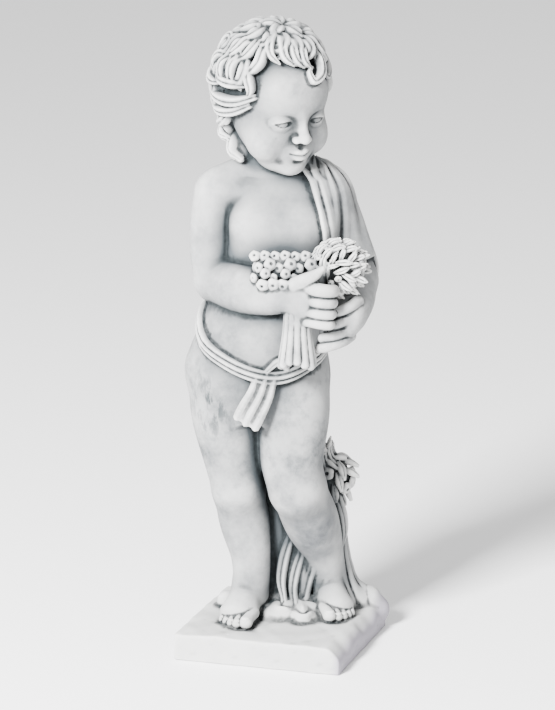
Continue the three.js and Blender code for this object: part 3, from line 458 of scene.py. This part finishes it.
# the locks that frame the face, from the part round to its left, then from the part back over the right ear
FACE_LOCKS = [
    ([(-50, 74), (-56, 60), (-49, 49), (-35, 43)], 6.5),
    ([(-22, 72), (-32, 60), (-28, 49), (-14, 42)], 6.5),
    ([(-2, 67), (-14, 57), (-12, 47), (0, 40)], 6.0),
    ([(14, 62), (1, 54), (0, 45), (11, 39)], 6.0),
    ([(40, 56), (34, 42), (20, 30), (6, 27), (4, 35), (16, 40)], 5.5),
    ([(56, 50), (60, 38), (50, 28), (38, 24), (36, 31)], 5.5),
    ([(-66, 66), (-62, 50), (-61, 38), (-68, 28), (-78, 27)], 7.5),
    ([(-82, 62), (-77, 50), (-80, 40), (-90, 32)], 7.5),
    ([(-100, 58), (-94, 46), (-97, 36), (-106, 29)], 7.5),
    ([(-84, 38), (-89, 27), (-85, 16), (-72, 9)], 7.0),
    ([(-98, 34), (-103, 22), (-98, 12), (-86, 8)], 7.0),
    ([(-72, 30), (-66, 22), (-61, 13), (-64, 5)], 6.5),
    ([(-70, 15), (-84, 11), (-99, 9), (-117, 13)], 6.5),
    ([(-118, 40), (-132, 40), (-140, 30), (-130, 22), (-118, 27)], 5.5),
    ([(-104, 30), (-117, 24), (-120, 13), (-106, 8)], 6.0),
    ([(-136, 12), (-122, 2), (-106, 3), (-90, 12)], 6.0),
    ([(-58, 7), (-74, -2), (-92, -7), (-112, -8), (-130, -2)], 7.0),
    ([(-62, -3), (-74, -11), (-90, -18), (-108, -22), (-126, -20)], 6.5),
    ([(-88, -22), (-98, -32), (-112, -38), (-126, -36)], 6.0),
]
# over the crown, the left side and the back they lie in rows: height of the roots, how many, first and last
# bearing, fall, how far the tips hook sideways, width
LOCK_ROWS = [
    (86, 5, -160, 130, 25, 22, 10.0),
    (72, 9, -175, 70, 24, -16, 10.0),
    (56, 12, 62, 278, 27, 16, 9.5),
    (40, 12, 70, 280, 27, -16, 9.5),
    (22, 11, 72, 252, 27, 15, 9.5),
    (4, 10, 74, 246, 26, -15, 9.5),
    (-14, 9, 80, 244, 25, 15, 9.0),
    (-32, 7, 94, 248, 22, -14, 7.5),
    (-46, 6, 112, 250, 18, 12, 7.0),
]
locks = [(lock(route, width), 1.5) for route, width in FACE_LOCKS]
for row, (height, count, first, last, fall, hook, width) in enumerate(LOCK_ROWS):
    for i in range(count):
        bearing = first + (last - first) * i / (count - 1)
        vary = math.sin(7.3 * i + 4.1 * row)
        root = height + 3 * vary
        swing = hook * (1 + 0.25 * vary) / max(math.cos(math.radians(root - fall / 2)), 0.3)
        route = [
            (bearing, root),
            (bearing - 0.5 * swing, root - 0.32 * fall),
            (bearing - 0.4 * swing, root - 0.7 * fall),
            (bearing + 0.5 * swing, root - fall),
        ]
        locks.append((lock(route, width), 1.5))
hair = build([(egg((0, 14, 19), (59, 64, 64)), 4)] + locks, 3)


def head(cells, body):
    """The head with its hair, melted onto the neck."""
    matrix = np.array(HEAD.inverted(), np.float32)
    reach = 130 + cells.half
    near = np.nonzero(np.linalg.norm(cells.middle - np.array(HEAD.translation), axis=1) < reach)[0]
    if not len(near):
        return body
    points, middle = (p @ matrix[:3, :3].T + matrix[:3, 3] for p in (cells.points[near], cells.middle[near]))
    local = Cells(points, middle, cells.half)
    d = carve(skull(local), hollows(local), 6)
    d = carve(features(local, d), mouth_line(local), 2)
    d = ear_rim(local, carve(d, ear_hollow(local), 4))
    d = hair(local, d) * HEAD_SIZE
    body[near] = melt(body[near], d, 4)
    return body


def away_from(x, y):
    """For points on a path, the level way out from the upright axis through x, y."""
    return lambda spots: (spots - np.array([x, y, 0])) * np.array([1, 1, 0])


from_neck = away_from(-12, 6)


def curl(*stations):
    return strip(stations, from_neck), 2


neck_curls = build([
    curl((-46, 10, 686, 8, 6), (-66, 6, 670, 9, 8), (-72, 2, 656, 8, 7), (-62, -6, 650, 5, 4)),
    curl((-42, 2, 668, 8, 6), (-57, -4, 652, 9, 8), (-60, -6, 636, 9, 8), (-50, -13, 626, 5, 5)),
    (egg((-44, 2, 648), (14, 16, 26)), 4),
    curl((-46, 18, 676, 9, 6), (-54, 24, 656, 9, 7), (-44, 30, 640, 7, 5), (-36, 32, 634, 5, 4)),
    curl((-26, 34, 682, 10, 6), (-32, 42, 662, 10, 7), (-20, 44, 644, 8, 6), (-12, 40, 636, 5, 4)),
    curl((0, 38, 682, 10, 6), (2, 46, 662, 10, 7), (12, 40, 646, 8, 6), (18, 34, 640, 5, 4)),
    curl((24, 28, 680, 9, 6), (30, 32, 662, 9, 7), (38, 22, 648, 7, 5), (40, 14, 644, 5, 4)),
])

# ---------------------------------------------------------------- sash and cape
# A long cloth rolled round the hips, with a short pleated end hanging in front, and a cape over the left
# shoulder, both part of the same casting. The cloth lies thin on the body and rolls up into cords at its hems.
SASH = [  # bearing and height round the hips, highest behind, lowest under the belly
    (-125, 442), (-98, 428), (-66, 399), (-36, 378), (-6, 364), (20, 360),
    (42, 366), (75, 386), (110, 408), (150, 430), (190, 442), (235, 445),
]
CAPE_HEM = [  # height, and x of the edge behind and in front
    (446, -14, 60), (490, -8, 54), (540, 4, 50), (565, 12, 45), (600, 18, 34), (622, 16, 20), (640, 14, 14),
]
CLOTH = 4.5
ROLL = 3.6
FOLD = 4.2


def flesh(cells):
    return melt(torso(cells), legs(cells), 10)


def flesh_at(points):
    points = np.array(points, np.float32)
    return flesh(Cells(points[:, None], points, 60.0))[:, 0]


def meet(starts, ways, lift):
    """Where level lines from the starts meet the body, raised off it by the lift."""
    p, ways = np.array(starts, float), np.array(ways, float)
    for _ in range(60):
        p += ways * (0.8 * np.minimum(flesh_at(p), 20))[:, None]
    return p - ways * lift


def around(bearings, zs, lift):
    """Points on the hips at bearings (0 in front, 90 at the left) and heights."""
    b = np.radians(np.array(bearings, float))
    out = np.stack([np.sin(b), -np.cos(b), 0 * b], 1)
    centre = np.stack([0 * b - 25, 0 * b, np.array(zs, float)], 1)
    return meet(centre + 150 * out, -out, lift)


def in_front(x, z, lift):
    return tuple(meet([(x, -150, z)], [(0, 1, 0)], lift)[0])


from_hips = away_from(-25, 0)
bearings, heights = np.array(SASH, float).T
sash = strip([(*p, 11, 7) for p in around(bearings, heights, 2)], from_hips, 3, 2.6)
hanging_end = strip([
    (*in_front(-18, 368, -2), 17, 5),
    (-26, -60, 340, 19, 6),
    (-38, -61, 316, 21, 6),
    (-44, -59, 303, 21, 5),
], from_hips, 3, 3.6)
tuck = strip([
    (*in_front(-18, 370, 1), 4, 4),
    (*in_front(-4, 382, 2), 6, 5),
    (*in_front(8, 374, 2), 8, 4),
], from_hips, 2, 1.6)
drapery = build([(sash, 1.5), (hanging_end, 1.5), (tuck, 2)])


def cape(fig, body):
    """The cape over the left shoulder, falling down the back: a sheet on the body with a rolled hem and folds."""
    x, y, z = (fig.points[..., i] for i in range(3))
    heights, rear, front = np.array(CAPE_HEM, float).T
    forward = np.clip((20 - y) / 40, 0, 1)
    edge = forward * np.interp(z, heights, front) + (1 - forward) * np.interp(z, heights, rear)
    inside = x - edge
    lowest = 442 + 52 * np.clip((34 - y) / 24, 0, 1) + 0.12 * np.maximum(x - 60, 0)
    highest = 648 - 0.5 * np.maximum(x, 0)
    region = np.maximum(np.maximum(-inside, lowest - z), z - highest)
    # the folds hang from the shoulder, so they follow the bearing round it, with one long fold beside the hem
    drift = 0.7 * np.sin(z / 37) + 0.4 * np.sin(z / 19)
    bearing = np.arctan2(x - 40, 14 - y)
    hanging = 0.32 * np.cos(12 * bearing + drift) + 0.18 * np.cos(21 * bearing + 2 * drift)
    beside = np.exp(-(((inside - 15) / 5) ** 2))
    folds = 0.5 + (1 - beside) * hanging + 0.5 * beside
    fade = np.clip((inside - 4) / 8, 0, 1) * np.clip(1.3 - forward * inside / 50, 0.3, 1)
    roll = np.exp(-(((inside - 4) / 4.5) ** 2))
    return carve(body - CLOTH - ROLL * roll - FOLD * folds * fade, -region, 3)


# ---------------------------------------------------------------- flowers
# A bunch of stems in the right fist, a spray of round florets over the forearm, and a dense head of leaves
# and florets between the two hands, all part of the same casting and pressed into one lump on the clay.
BUNCH = np.array([68.0, -66.0, 502.0])
LEAVES = 90
STEMS = 12
SPRAY_ROWS = [  # how many florets, place of the first, and their radius
    (6, (-33, -66, 516), 6.9),
    (6, (-27, -73.5, 505), 7.4),
    (5, (-33, -81, 495), 6),
    (3, (-23, -88.5, 485), 8),
]

stems = []
for i in range(STEMS):
    a = i * 2 * math.pi / STEMS
    c, s = math.cos(a), math.sin(a)
    uneven = 4 * math.sin(5 * i)
    stems.append((limb([
        (19 + 12 * c, -86 + 8 * s, 446, 4.6),
        (19 + 14 * c, -87 + 9 * s, 420, 4.8),
        (19 + 19 * c, -88 + 11 * s, 388 + uneven, 5.4),
    ], 2), 0.8))


def floret(at, r, facing):
    """A round flower of five petals with a hole at its heart."""
    facing = np.array(facing, np.float32) / np.linalg.norm(facing)
    across = np.cross(facing, (0, 0, 1)).astype(np.float32)
    across /= np.linalg.norm(across)
    rise = np.cross(across, facing)
    at = np.array(at, np.float32)
    depth = 0.6 * r

    def distance(p):
        away = p - at
        u, v, w = away @ across, away @ rise, away @ facing
        wide = r * (1 + 0.06 * np.cos(5 * np.arctan2(v, u)))
        q = np.sqrt((u * u + v * v) / (wide * wide) + w * w / (depth * depth))
        petals = (q - 1) * r * np.where(q < 1, 0.75, 0.85)
        heart = np.sqrt(u * u + v * v + (w - 0.62 * r) ** 2) - 0.36 * r
        return np.maximum(petals, -heart)

    return Form(at, r * 1.15, distance)


spray = []
for row, (count, (x, y, z), r) in enumerate(SPRAY_ROWS):
    for i in range(count):
        vary = math.sin(3.1 * i + 5.3 * row)
        at = (x + 12.4 * i + vary, y - 0.9 * i, z + 2.5 * vary)
        spray.append((floret(at, r + 0.9 * vary, (0.7 * vary - 0.2, -1, 0.6 - 0.3 * row + 0.3 * vary)), 1))


def on_ball(i, count, spread):
    """The i-th of count ways out of a ball, wound evenly from its front to the angle spread in radians."""
    turn, out = 2.4 * i, spread * math.sqrt((i + 0.5) / count)
    return np.array([math.sin(out) * math.cos(turn), -math.cos(out), math.sin(out) * math.sin(turn)])


def out_of(centre):
    """For points on a path, the way out from the centre of a bunch."""
    return lambda spots: spots - centre


leaves = []
from_bunch = out_of(BUNCH + (0, 20, 0))
for i in range(LEAVES):
    vary, size = math.sin(2.7 * i), 0.86 + 0.16 * math.sin(5.1 * i)
    ball = on_ball(i, LEAVES, 2.1)
    seat = BUNCH + ball * (28, 19, 27)
    droop = 0.35 - 0.55 * vary if ball[2] > -0.2 else -0.5
    way = 0.5 * ball * (1, 0.2, 1) + (0.7 + 0.4 * vary, 0, droop)
    way /= np.linalg.norm(way)
    if i % 5 == 2:
        leaves.append((floret(seat + 3 * ball, 6.4 * size, ball + 0.3 * way), 0.6))
        continue
    leaves.append((strip([
        (*(seat - 9 * size * way), 2.8, 3),
        (*(seat - 2 * size * way + (3 + 1.5 * vary) * ball), 5.2 * size, 3.8),
        (*(seat + 5 * size * way + (4 + 2 * vary) * ball), 4.9 * size, 3.6),
        (*(seat + 13 * size * way + (1 + 3 * vary) * ball), 1.6, 2.2),
    ], from_bunch, 2, 2.2), 0.5))
bouquet = build(
    stems
    + [
        (limb([(19, -86, 446, 11), (20, -87, 396, 13)]), 1),
        (egg((6, -62, 500), (42, 14, 19), (0, 2, 0)), 6),
        (limb([(20, -86, 440, 12), (34, -86, 474, 12), (46, -74, 494, 12)]), 4),
        (egg(BUNCH, (25, 15, 26)), 5),
        (egg((-33, -78, 490), (5, 5, 5)), 2),  # joins the end of the spray to the forearm
    ]
    + spray
    + leaves
)

# ---------------------------------------------------------------- sheaf and ground
# A sheaf of corn stands behind the left leg and carries the load of the figure in the casting. Its stalks fan
# out over a low mound of ground, long leaves sweep forward between the feet, and flowers droop from its top.
STALKS = 20
EARS = 16
CROWN_LEAVES = 26
SHEAF_TOP = np.array([66.0, 46.0, 206.0])

stalks = []
for i in range(STALKS):
    a = i * 2 * math.pi / STALKS
    c, s = math.cos(a), math.sin(a)
    stalks.append((limb([
        (44 + 29 * c, 50 + 20 * s, 214, 5.5),
        (34 + 42 * c, 55 + 29 * s, 150, 6),
        (28 + 55 * c, 58 + 36 * s, 92, 6.8),
        (28 + 72 * c, 59 + 42 * s, 36, 8),
    ], 3), 1))
# ears of corn stand up round the top of the stalks
ears = []
for i in range(EARS):
    a = i * 2 * math.pi / EARS + 0.2
    c, s, tall = math.cos(a), math.sin(a), 4 * math.sin(2.3 * i)
    ears.append((strip([
        (44 + 28 * c, 49 + 19 * s, 202, 5, 5),
        (43 + 25 * c, 47 + 17 * s, 224 + tall, 7.5, 6),
        (42 + 22 * c, 45 + 15 * s, 240 + tall, 6, 5),
        (42 + 24 * c, 45 + 17 * s, 252 + tall, 2, 2.5),
    ], away_from(44, 48), 3, 2), 1))


def towards(*way):
    """For points on a path, one and the same way for all."""
    return lambda spots: np.array(way) + 0 * spots


from_sheaf = out_of(SHEAF_TOP * (1, 1, 0.9))
blades = []
for i in range(4):
    across, down = 15 * i, 17 * i
    blades.append((strip([
        (24 + across, 24, 164 - down, 5, 5),
        (12 + across, 21, 132 - down, 7.6, 6.5),
        (3 + across, 18, 102 - 0.9 * down, 8.6, 7),
        (0 + across, 13, 76 - 0.7 * down, 7.6, 7),
        (4 + across, 4, 56 - 0.4 * down, 4.5, 6),
    ], towards(-0.3, -1, 0.15), 2, 2.4), 1.2))
for i in range(2):
    blades.append((strip([
        (60 + 8 * i, 36, 190, 6, 5),
        (70 + 7 * i, 32, 160, 8, 6),
        (72 + 6 * i, 34, 134, 7, 6),
        (66 + 6 * i, 38, 112, 4, 4),
    ], from_sheaf, 2, 1.6), 2))
# curled petals lie on the ground between the feet
curls = []
for x, y, turn in ((16, -4, 0.4), (34, -8, 1.2), (27, -20, 3.6), (40, 6, 0.2), (2, -8, 2.4)):
    z = GROUND + 15 + 0.45 * y
    arc = [
        (x + 8.5 * math.cos(turn + t), y + 8.5 * math.sin(turn + t), z, 2 + 2.4 * math.sin(t + 0.3), 6)
        for t in (0, 0.8, 1.6, 2.4)
    ]
    curls.append((strip(arc, towards(0, 0, 1), 1, 0.8), 2))
# flowers and drooping leaves crown the sheaf
crown = []
for i in range(CROWN_LEAVES):
    vary = math.sin(3.3 * i)
    ball = on_ball(i, CROWN_LEAVES, 1.9)
    seat = SHEAF_TOP + ball * (22, 20, 27)
    way = 0.6 * ball * (1, 0.2, 1) + (0.3 * vary, 0, -0.55)
    way /= np.linalg.norm(way)
    if i % 4 == 1:
        crown.append((floret(seat + 2 * ball, 8.5, ball), 1))
        continue
    crown.append((strip([
        (*(seat - 8 * way), 3.6, 3.6),
        (*(seat + 3 * ball), 6.2, 4.6),
        (*(seat + 7 * way + 2 * ball), 5.6, 4),
        (*(seat + 14 * way), 2.6, 3),
    ], from_sheaf, 2, 1.5), 0.8))
sheaf = build(
    [
        (limb([(12, 60, 36, 40), (14, 60, 92, 32), (18, 56, 150, 30), (24, 48, 205, 27), (30, 40, 240, 14)]), 6),
        (limb([(50, 62, 36, 40), (46, 60, 92, 32), (46, 56, 150, 24), (56, 50, 205, 18), (50, 44, 240, 10)]), 6),
        (egg(SHEAF_TOP, (20, 18, 26)), 4),
    ]
    + stalks
    + ears
    + blades
    + curls
    + crown
    + [
        (egg((12, 18, 32), (52, 44, 22)), 12),
        (limb([(-10, 44, 40, 26), (-8, 42, 120, 22), (-6, 38, 180, 20), (0, 30, 236, 16)]), 8),
        (limb([(60, 62, 34, 34), (110, 62, 38, 18)]), 14),
        (egg((124, 66, 24), (15, 15, 15)), 10),
        (limb([(-40, 50, 34, 20), (-70, 46, 42, 12)]), 14),
    ],
    8,
)

# ---------------------------------------------------------------- plinth
# A square slab under the figure, part of the same casting. Its edges are soft and worn, its top was left
# rough from the trowel, and the top edge at the left is broken away in a slope.
PLINTH_SIDE = 215.0
PLINTH_EDGE = 2.5


def plinth(cells):
    x, y, z = (cells.points[..., i] for i in range(3))
    half = PLINTH_SIDE / 2
    beside = np.abs(cells.points[..., :2]) - half + PLINTH_EDGE
    lumps = 1.1 * np.sin(x / 17 + 1.3 * np.sin(y / 23)) * np.sin(y / 15 + np.sin(x / 29))
    lumps += 0.4 * np.sin(x / 6) * np.sin(y / 7)
    over = np.maximum(z - GROUND - lumps, -12 - z) + PLINTH_EDGE
    outside = np.sqrt((np.maximum(beside, 0) ** 2).sum(-1) + np.maximum(over, 0) ** 2)
    block = outside + np.minimum(np.maximum(beside.max(-1), over), 0) - PLINTH_EDGE
    worn = 0.5 * np.sin(x / 9 + z / 7) * np.sin(y / 8 - z / 9)
    worn += 0.3 * np.sin(x / 4.3 - z / 6) * np.sin(y / 4.7 + z / 5)
    slope = (x + z - half - GROUND + 13 + 3 * np.sin(y / 17) + 1.2 * np.sin(y / 6)) * math.sqrt(0.5)
    return carve(block + worn, -slope, 5)


# ---------------------------------------------------------------- casting
# The whole statue came out of one mould in white cement and was washed with a blue-grey patina that was
# wiped off again, so it stays in the hollows. The skin is taken off the sum of the forms as one closed mesh.
FIGURE_TURN = math.radians(17.2)
TRIANGLES = 195_000
VOXEL = 1.3  # millimetres
BLOCK = 8  # voxels along the side of a block
SPARE = 12  # millimetres round the statue
low, high = (np.array(corner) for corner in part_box("cherub_statue"))
UNIT = (high[2] - low[2]) / 803.4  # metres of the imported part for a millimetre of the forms


def figure_frame(cells):
    """The same cells as the figure sees them: it is turned on the plinth."""
    c, s = math.cos(FIGURE_TURN), math.sin(FIGURE_TURN)
    turn = np.array([[c, -s, 0], [s, c, 0], [0, 0, 1]], np.float32)
    return Cells(cells.points @ turn, cells.middle @ turn, cells.half)


def statue(cells):
    fig = figure_frame(cells)
    d = melt(plinth(cells), sheaf(fig), 8)
    d = melt(d, feet(fig), 3)
    # an arm meets the body in a sharp crease, and widens into the shoulder above it
    rise = np.clip((fig.points[..., 2] - 545) / 40, 0, 1)
    crease = 2.5 + 13.5 * rise * rise
    body = melt(flesh(fig), right_arm(fig), crease)
    arm = left_arm(fig)
    cloth = cape(fig, melt(body, arm, 20))
    body = melt(body, arm, crease)
    body = melt(body, cloth, 1.5)
    body = head(fig, body)
    body = neck_curls(fig, body)
    d = melt(d, body, 6)
    d = melt(d, drapery(fig), 2)
    d = melt(d, bouquet(fig), 2)
    d = melt(d, left_hand(fig), 2)
    return melt(d, right_hand(fig), 3)


# the distance is worked out block by block, and voxel by voxel only in the blocks that the skin may cross
corner = low / UNIT - SPARE
count = np.ceil(((high - low) / UNIT + 2 * SPARE) / VOXEL / BLOCK).astype(int)
grid = tuple(count * BLOCK)
index = np.stack(np.meshgrid(*[np.arange(c) for c in count], indexing="ij"), -1).reshape(-1, 3)
middles = (corner + (index * BLOCK + (BLOCK - 1) / 2) * VOXEL).astype(np.float32)
offsets = np.stack(np.meshgrid(*[np.arange(BLOCK)] * 3, indexing="ij"), -1).reshape(-1, 3)
offsets = ((offsets - (BLOCK - 1) / 2) * VOXEL).astype(np.float32)
half_block = VOXEL * BLOCK * math.sqrt(3) / 2
rough = statue(Cells(middles[:, None], middles, 3 * half_block))[:, 0]
crossed = np.nonzero(np.abs(rough) < 2 * half_block)[0]
field = np.repeat(rough[:, None], BLOCK**3, 1)


def fill(blocks):
    field[blocks] = statue(Cells(middles[blocks][:, None] + offsets, middles[blocks], half_block))


with ThreadPoolExecutor(4) as pool:
    list(pool.map(fill, np.array_split(crossed, max(len(crossed) // 250, 1))))
field = field.reshape(*count, BLOCK, BLOCK, BLOCK).transpose(0, 3, 1, 4, 2, 5).reshape(grid)
grid_z = corner[2] + np.arange(grid[2]) * VOXEL
field = np.maximum(field, -grid_z.astype(np.float32))  # cut flat underneath

vdb = openvdb.FloatGrid(1000.0)
vdb.copyFromArray(field)
points, quads = vdb.convertToQuads(0.0)
quads = quads[:, ::-1].astype(int)

# the casting is solid, so only its outermost skin is kept: the cement fills every pocket between the forms
skin = np.arange(len(points))
while True:
    spread = skin.copy()
    np.minimum.at(spread, quads.ravel(), np.repeat(skin[quads].min(1), 4))
    spread = spread[spread]
    if (spread == skin).all():
        break
    skin = spread
quads = quads[skin[quads[:, 0]] == np.bincount(skin[quads[:, 0]]).argmax()]
used, quads = np.unique(quads, return_inverse=True)
points, quads = corner + points[used] * VOXEL, quads.reshape(-1, 4)

mesh = bpy.data.meshes.new("cast_statue")
mesh.from_pydata((points * UNIT).tolist(), [], quads.tolist())
cast = bpy.data.objects.new("cast_statue", mesh)
bpy.context.scene.collection.objects.link(cast)
thin = cast.modifiers.new("thin", "DECIMATE")
thin.ratio = TRIANGLES / (2 * len(quads))
mesh = bpy.data.meshes.new_from_object(cast.evaluated_get(bpy.context.evaluated_depsgraph_get()))
cast.modifiers.clear()
cast.data = mesh
mesh.name = "cast_statue"
xyz = np.empty(len(mesh.vertices) * 3, np.float32)
mesh.vertices.foreach_get("co", xyz)
xyz = xyz.reshape(-1, 3)
xyz[xyz[:, 2] < 0.0005, 2] = 0  # the underside lies flat on the ground
mesh.vertices.foreach_set("co", xyz.ravel())
mesh.shade_smooth()


def crowding(reach):
    """How much of the cube within reach of each vertex is stone: half on a flat, more in a hollow."""
    n = max(int(round(reach / VOXEL)), 1)
    solid = np.clip(0.5 - field / VOXEL, 0, 1)
    for axis in range(3):
        pad = [(n + 1, n) if a == axis else (0, 0) for a in range(3)]
        total = np.cumsum(np.pad(solid, pad), axis, dtype=np.float64)
        size = solid.shape[axis]
        upper = np.take(total, range(2 * n + 1, 2 * n + 1 + size), axis)
        solid = ((upper - np.take(total, range(size), axis)) / (2 * n + 1)).astype(np.float32)
    at = (xyz / UNIT - corner) / VOXEL
    i = np.clip(np.floor(at).astype(int), 0, np.array(grid) - 2)
    t = at - i
    share = np.zeros(len(at))
    for c in np.ndindex(2, 2, 2):
        share += np.prod(np.where(c, t, 1 - t), 1) * solid[tuple((i + c).T)]
    return share


# where the patina took unevenly: on the thighs and knees, in a patch on the left shin, in streaks on the
# right thigh, and hardly at all on the ground; the ground's left side, away from the key light, gets painted
# shade
x, y, z = (xyz / UNIT).T
thighs = np.exp(-(((z - 290) / 120) ** 2)) + 0.5 * np.exp(-(((z - 735) / 30) ** 2))
shin = np.clip((z - 86) / 9, 0, 1) * np.clip((215 - z) / 50, 0, 1)
shin *= np.clip((x - 8) / 22, 0, 1) * np.clip((30 - y) / 30, 0, 1)
right_thigh = np.exp(-(((x + 72) / 26) ** 2) - ((z - 322) / 42) ** 2) * np.clip((20 - y) / 30, 0, 1)
ground = np.clip((70 - z) / 30, 0, 1)
for name, values in (
    ("score", crowding(1.5)),
    ("groove", crowding(4)),
    ("hollow", crowding(9)),
    ("wash_and_shade_in_wide_hollows", crowding(24)),
    ("mottled", 0.25 + 0.75 * thighs),
    ("patch", shin),
    ("streaks", right_thigh),
    ("clean", ground),
    ("shade", np.clip((x - 98) / 8, 0, 1) * ground),
):
    mesh.attributes.new(name, "FLOAT", "POINT").data.foreach_set("value", values.astype(np.float32))

WHITE = (0.50, 0.50, 0.49, 1)
FLESH = (0.22, 0.224, 0.228, 1)
# dark grey for the mottled patina, and for the painted shade mixed with wash in the wide hollows between forms
WASH_AND_SHADE = (0.042, 0.049, 0.054, 1)
SMUDGE = (0.085, 0.09, 0.097, 1)
STREAK = (0.03, 0.037, 0.04, 1)
# painted shade for the side of the ground that faces away from the key light
PAINTED_SHADE = (0.27, 0.255, 0.29, 1)
DARK = (0.003, 0.0055, 0.0065, 1)
stone = bpy.data.materials.new("washed cast stone")
stone.use_nodes = True
nodes, links = stone.node_tree.nodes, stone.node_tree.links
shader = nodes["Principled BSDF"]
shader.inputs["Roughness"].default_value = 0.82
shader.inputs["Specular IOR Level"].default_value = 0.25
place = nodes.new("ShaderNodeTexCoord").outputs["Object"]


def ramp(source, *stops):
    """A source turned into a grey by (place, value) stops."""
    node = nodes.new("ShaderNodeValToRGB")
    links.new(source, node.inputs["Fac"])
    while len(node.color_ramp.elements) < len(stops):
        node.color_ramp.elements.new(0.5)
    for element, (at, value) in zip(node.color_ramp.elements, stops):
        element.position = at
        element.color = (value, value, value, 1)
    return node.outputs["Color"]


def attribute(name):
    node = nodes.new("ShaderNodeAttribute")
    node.attribute_name = name
    return node.outputs["Fac"]


def noise(scale, detail, rough, stretch=(1, 1, 1), lean=(0, 0, 0)):
    node = nodes.new("ShaderNodeTexNoise")
    node.inputs["Scale"].default_value = scale
    node.inputs["Detail"].default_value = detail
    node.inputs["Roughness"].default_value = rough
    squeeze = nodes.new("ShaderNodeMapping")
    squeeze.inputs["Scale"].default_value = stretch
    squeeze.inputs["Rotation"].default_value = lean
    links.new(place, squeeze.inputs["Vector"])
    links.new(squeeze.outputs["Vector"], node.inputs["Vector"])
    return node.outputs["Fac"]


def mix(kind, factor, a, b):
    node = nodes.new("ShaderNodeMix")
    node.data_type = "RGBA"
    node.blend_type = kind
    for socket, value in ((node.inputs["Factor"], factor), (node.inputs["A"], a), (node.inputs["B"], b)):
        if isinstance(value, bpy.types.NodeSocket):
            links.new(value, socket)
        else:
            socket.default_value = value
    return node.outputs["Result"]


def times(a, b):
    return mix("MULTIPLY", 1.0, a, b)


def over(base, mask, colour):
    """The base with a colour laid over it where the mask is white."""
    return mix("MIX", mask, base, colour)


# the wash lies thickest in the grooves, thins out round them and was wiped off the ridges; the wide hollows
# between the forms get a broad darkening that is part wash and part painted shade
cloud = noise(22, 5, 0.65)
speck = noise(130, 4, 0.7)
crest = ramp(attribute("groove"), (0.3, 1), (0.46, 0))
score = ramp(attribute("score"), (0.515, 0), (0.57, 0.8), (0.66, 1))
groove = ramp(attribute("groove"), (0.51, 0), (0.56, 0.75), (0.64, 1))
hollow = ramp(attribute("hollow"), (0.515, 0), (0.57, 0.4), (0.66, 1))
# part wash, part painted shade: darker wherever much stone lies within 24 mm, in the wide hollows between forms
wash_and_shade_in_wide_hollows = ramp(attribute("wash_and_shade_in_wide_hollows"), (0.34, 0), (0.5, 0.55), (0.64, 1))
mottle = times(ramp(cloud, (0.46, 0), (0.68, 0.9)), attribute("mottled"))
mottle = times(mottle, ramp(speck, (0.35, 0.3), (0.65, 1)))
patch = times(attribute("patch"), ramp(noise(45, 5, 0.7), (0.3, 0.35), (0.62, 1)))
streaks = noise(70, 4, 0.7, (1, 1, 0.35), (0, 0.45, 0))
streaks = times(attribute("streaks"), ramp(streaks, (0.5, 0), (0.6, 1)))
wash = mix("SCREEN", 1.0, mix("SCREEN", 1.0, score, groove), hollow)
wash = times(wash, ramp(speck, (0.25, 0.7), (0.6, 1)))

base = mix("MIX", crest, FLESH, WHITE)
base = over(base, ramp(cloud, (0.35, 0.5), (0.7, 0)), WHITE)
# painted shade mixed with wash, laid over the wide hollows between forms
base = over(base, wash_and_shade_in_wide_hollows, WASH_AND_SHADE)
base = over(base, mottle, WASH_AND_SHADE)
base = over(base, patch, SMUDGE)
base = over(base, streaks, STREAK)
base = over(base, times(attribute("clean"), (0.7, 0.7, 0.7, 1)), WHITE)
# painted shade: the left side of the ground, turned away from the key light, is painted a darker purple-grey
base = over(base, attribute("shade"), PAINTED_SHADE)
base = over(base, wash, DARK)
links.new(base, shader.inputs["Base Color"])

bump = nodes.new("ShaderNodeBump")
bump.inputs["Strength"].default_value = 0.5
bump.inputs["Distance"].default_value = 0.0006
links.new(mix("MIX", 0.5, noise(420, 3, 0.6), noise(90, 3, 0.6)), bump.inputs["Height"])
links.new(bump.outputs["Normal"], shader.inputs["Normal"])
mesh.materials.clear()
mesh.materials.append(stone)
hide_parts("cherub_statue")
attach(cast, "root")

# ---------------------------------------------------------------- floor, light and camera
# A plain pale studio floor with an even white surround, a soft key light from the front left that brings out
# the modelling, a weak fill from the right, and a long lens that looks slightly down on the statue.
bpy.ops.mesh.primitive_plane_add(size=12)
floor = bpy.context.object
floor.name = "floor"
floor.location.z = -0.0005
pale = bpy.data.materials.new("pale floor")
pale.use_nodes = True
paint = pale.node_tree.nodes["Principled BSDF"]
paint.inputs["Base Color"].default_value = (0.9, 0.9, 0.9, 1)
paint.inputs["Roughness"].default_value = 0.9
floor.data.materials.append(pale)

world = bpy.data.worlds.new("studio")
world.use_nodes = True
sky = world.node_tree.nodes["Background"]
sky.inputs["Color"].default_value = (1, 1, 1, 1)
sky.inputs["Strength"].default_value = 1.1
bpy.context.scene.world = world
AIM = Vector((0, 0, 0.45))
for name, spot, size, watts in (("key", (-0.9, -3.3, 2.3), 0.9, 1150), ("fill", (1.8, -2.4, 1.2), 1.6, 20)):
    light = bpy.data.lights.new(name, "AREA")
    light.energy, light.size = watts, size
    lamp = bpy.data.objects.new(name, light)
    lamp.location = spot
    lamp.rotation_euler = (AIM - Vector(spot)).to_track_quat("-Z", "Y").to_euler()
    bpy.context.scene.collection.objects.link(lamp)

AWAY = 4.6  # metres from the statue's axis to the camera
EYE_LEVEL = 1.5
LOOKING_DOWN = 13.7386  # degrees
ASIDE = 0.0634
lens = bpy.data.cameras.new("camera")
lens.sensor_width = 36
lens.lens = 192.56
camera = bpy.data.objects.new("camera", lens)
camera.location = (AWAY * math.sin(FIGURE_TURN), -AWAY * math.cos(FIGURE_TURN), EYE_LEVEL)
camera.rotation_euler = (math.radians(90 - LOOKING_DOWN), 0, FIGURE_TURN + math.radians(ASIDE))
bpy.context.scene.collection.objects.link(camera)
bpy.context.scene.camera = camera
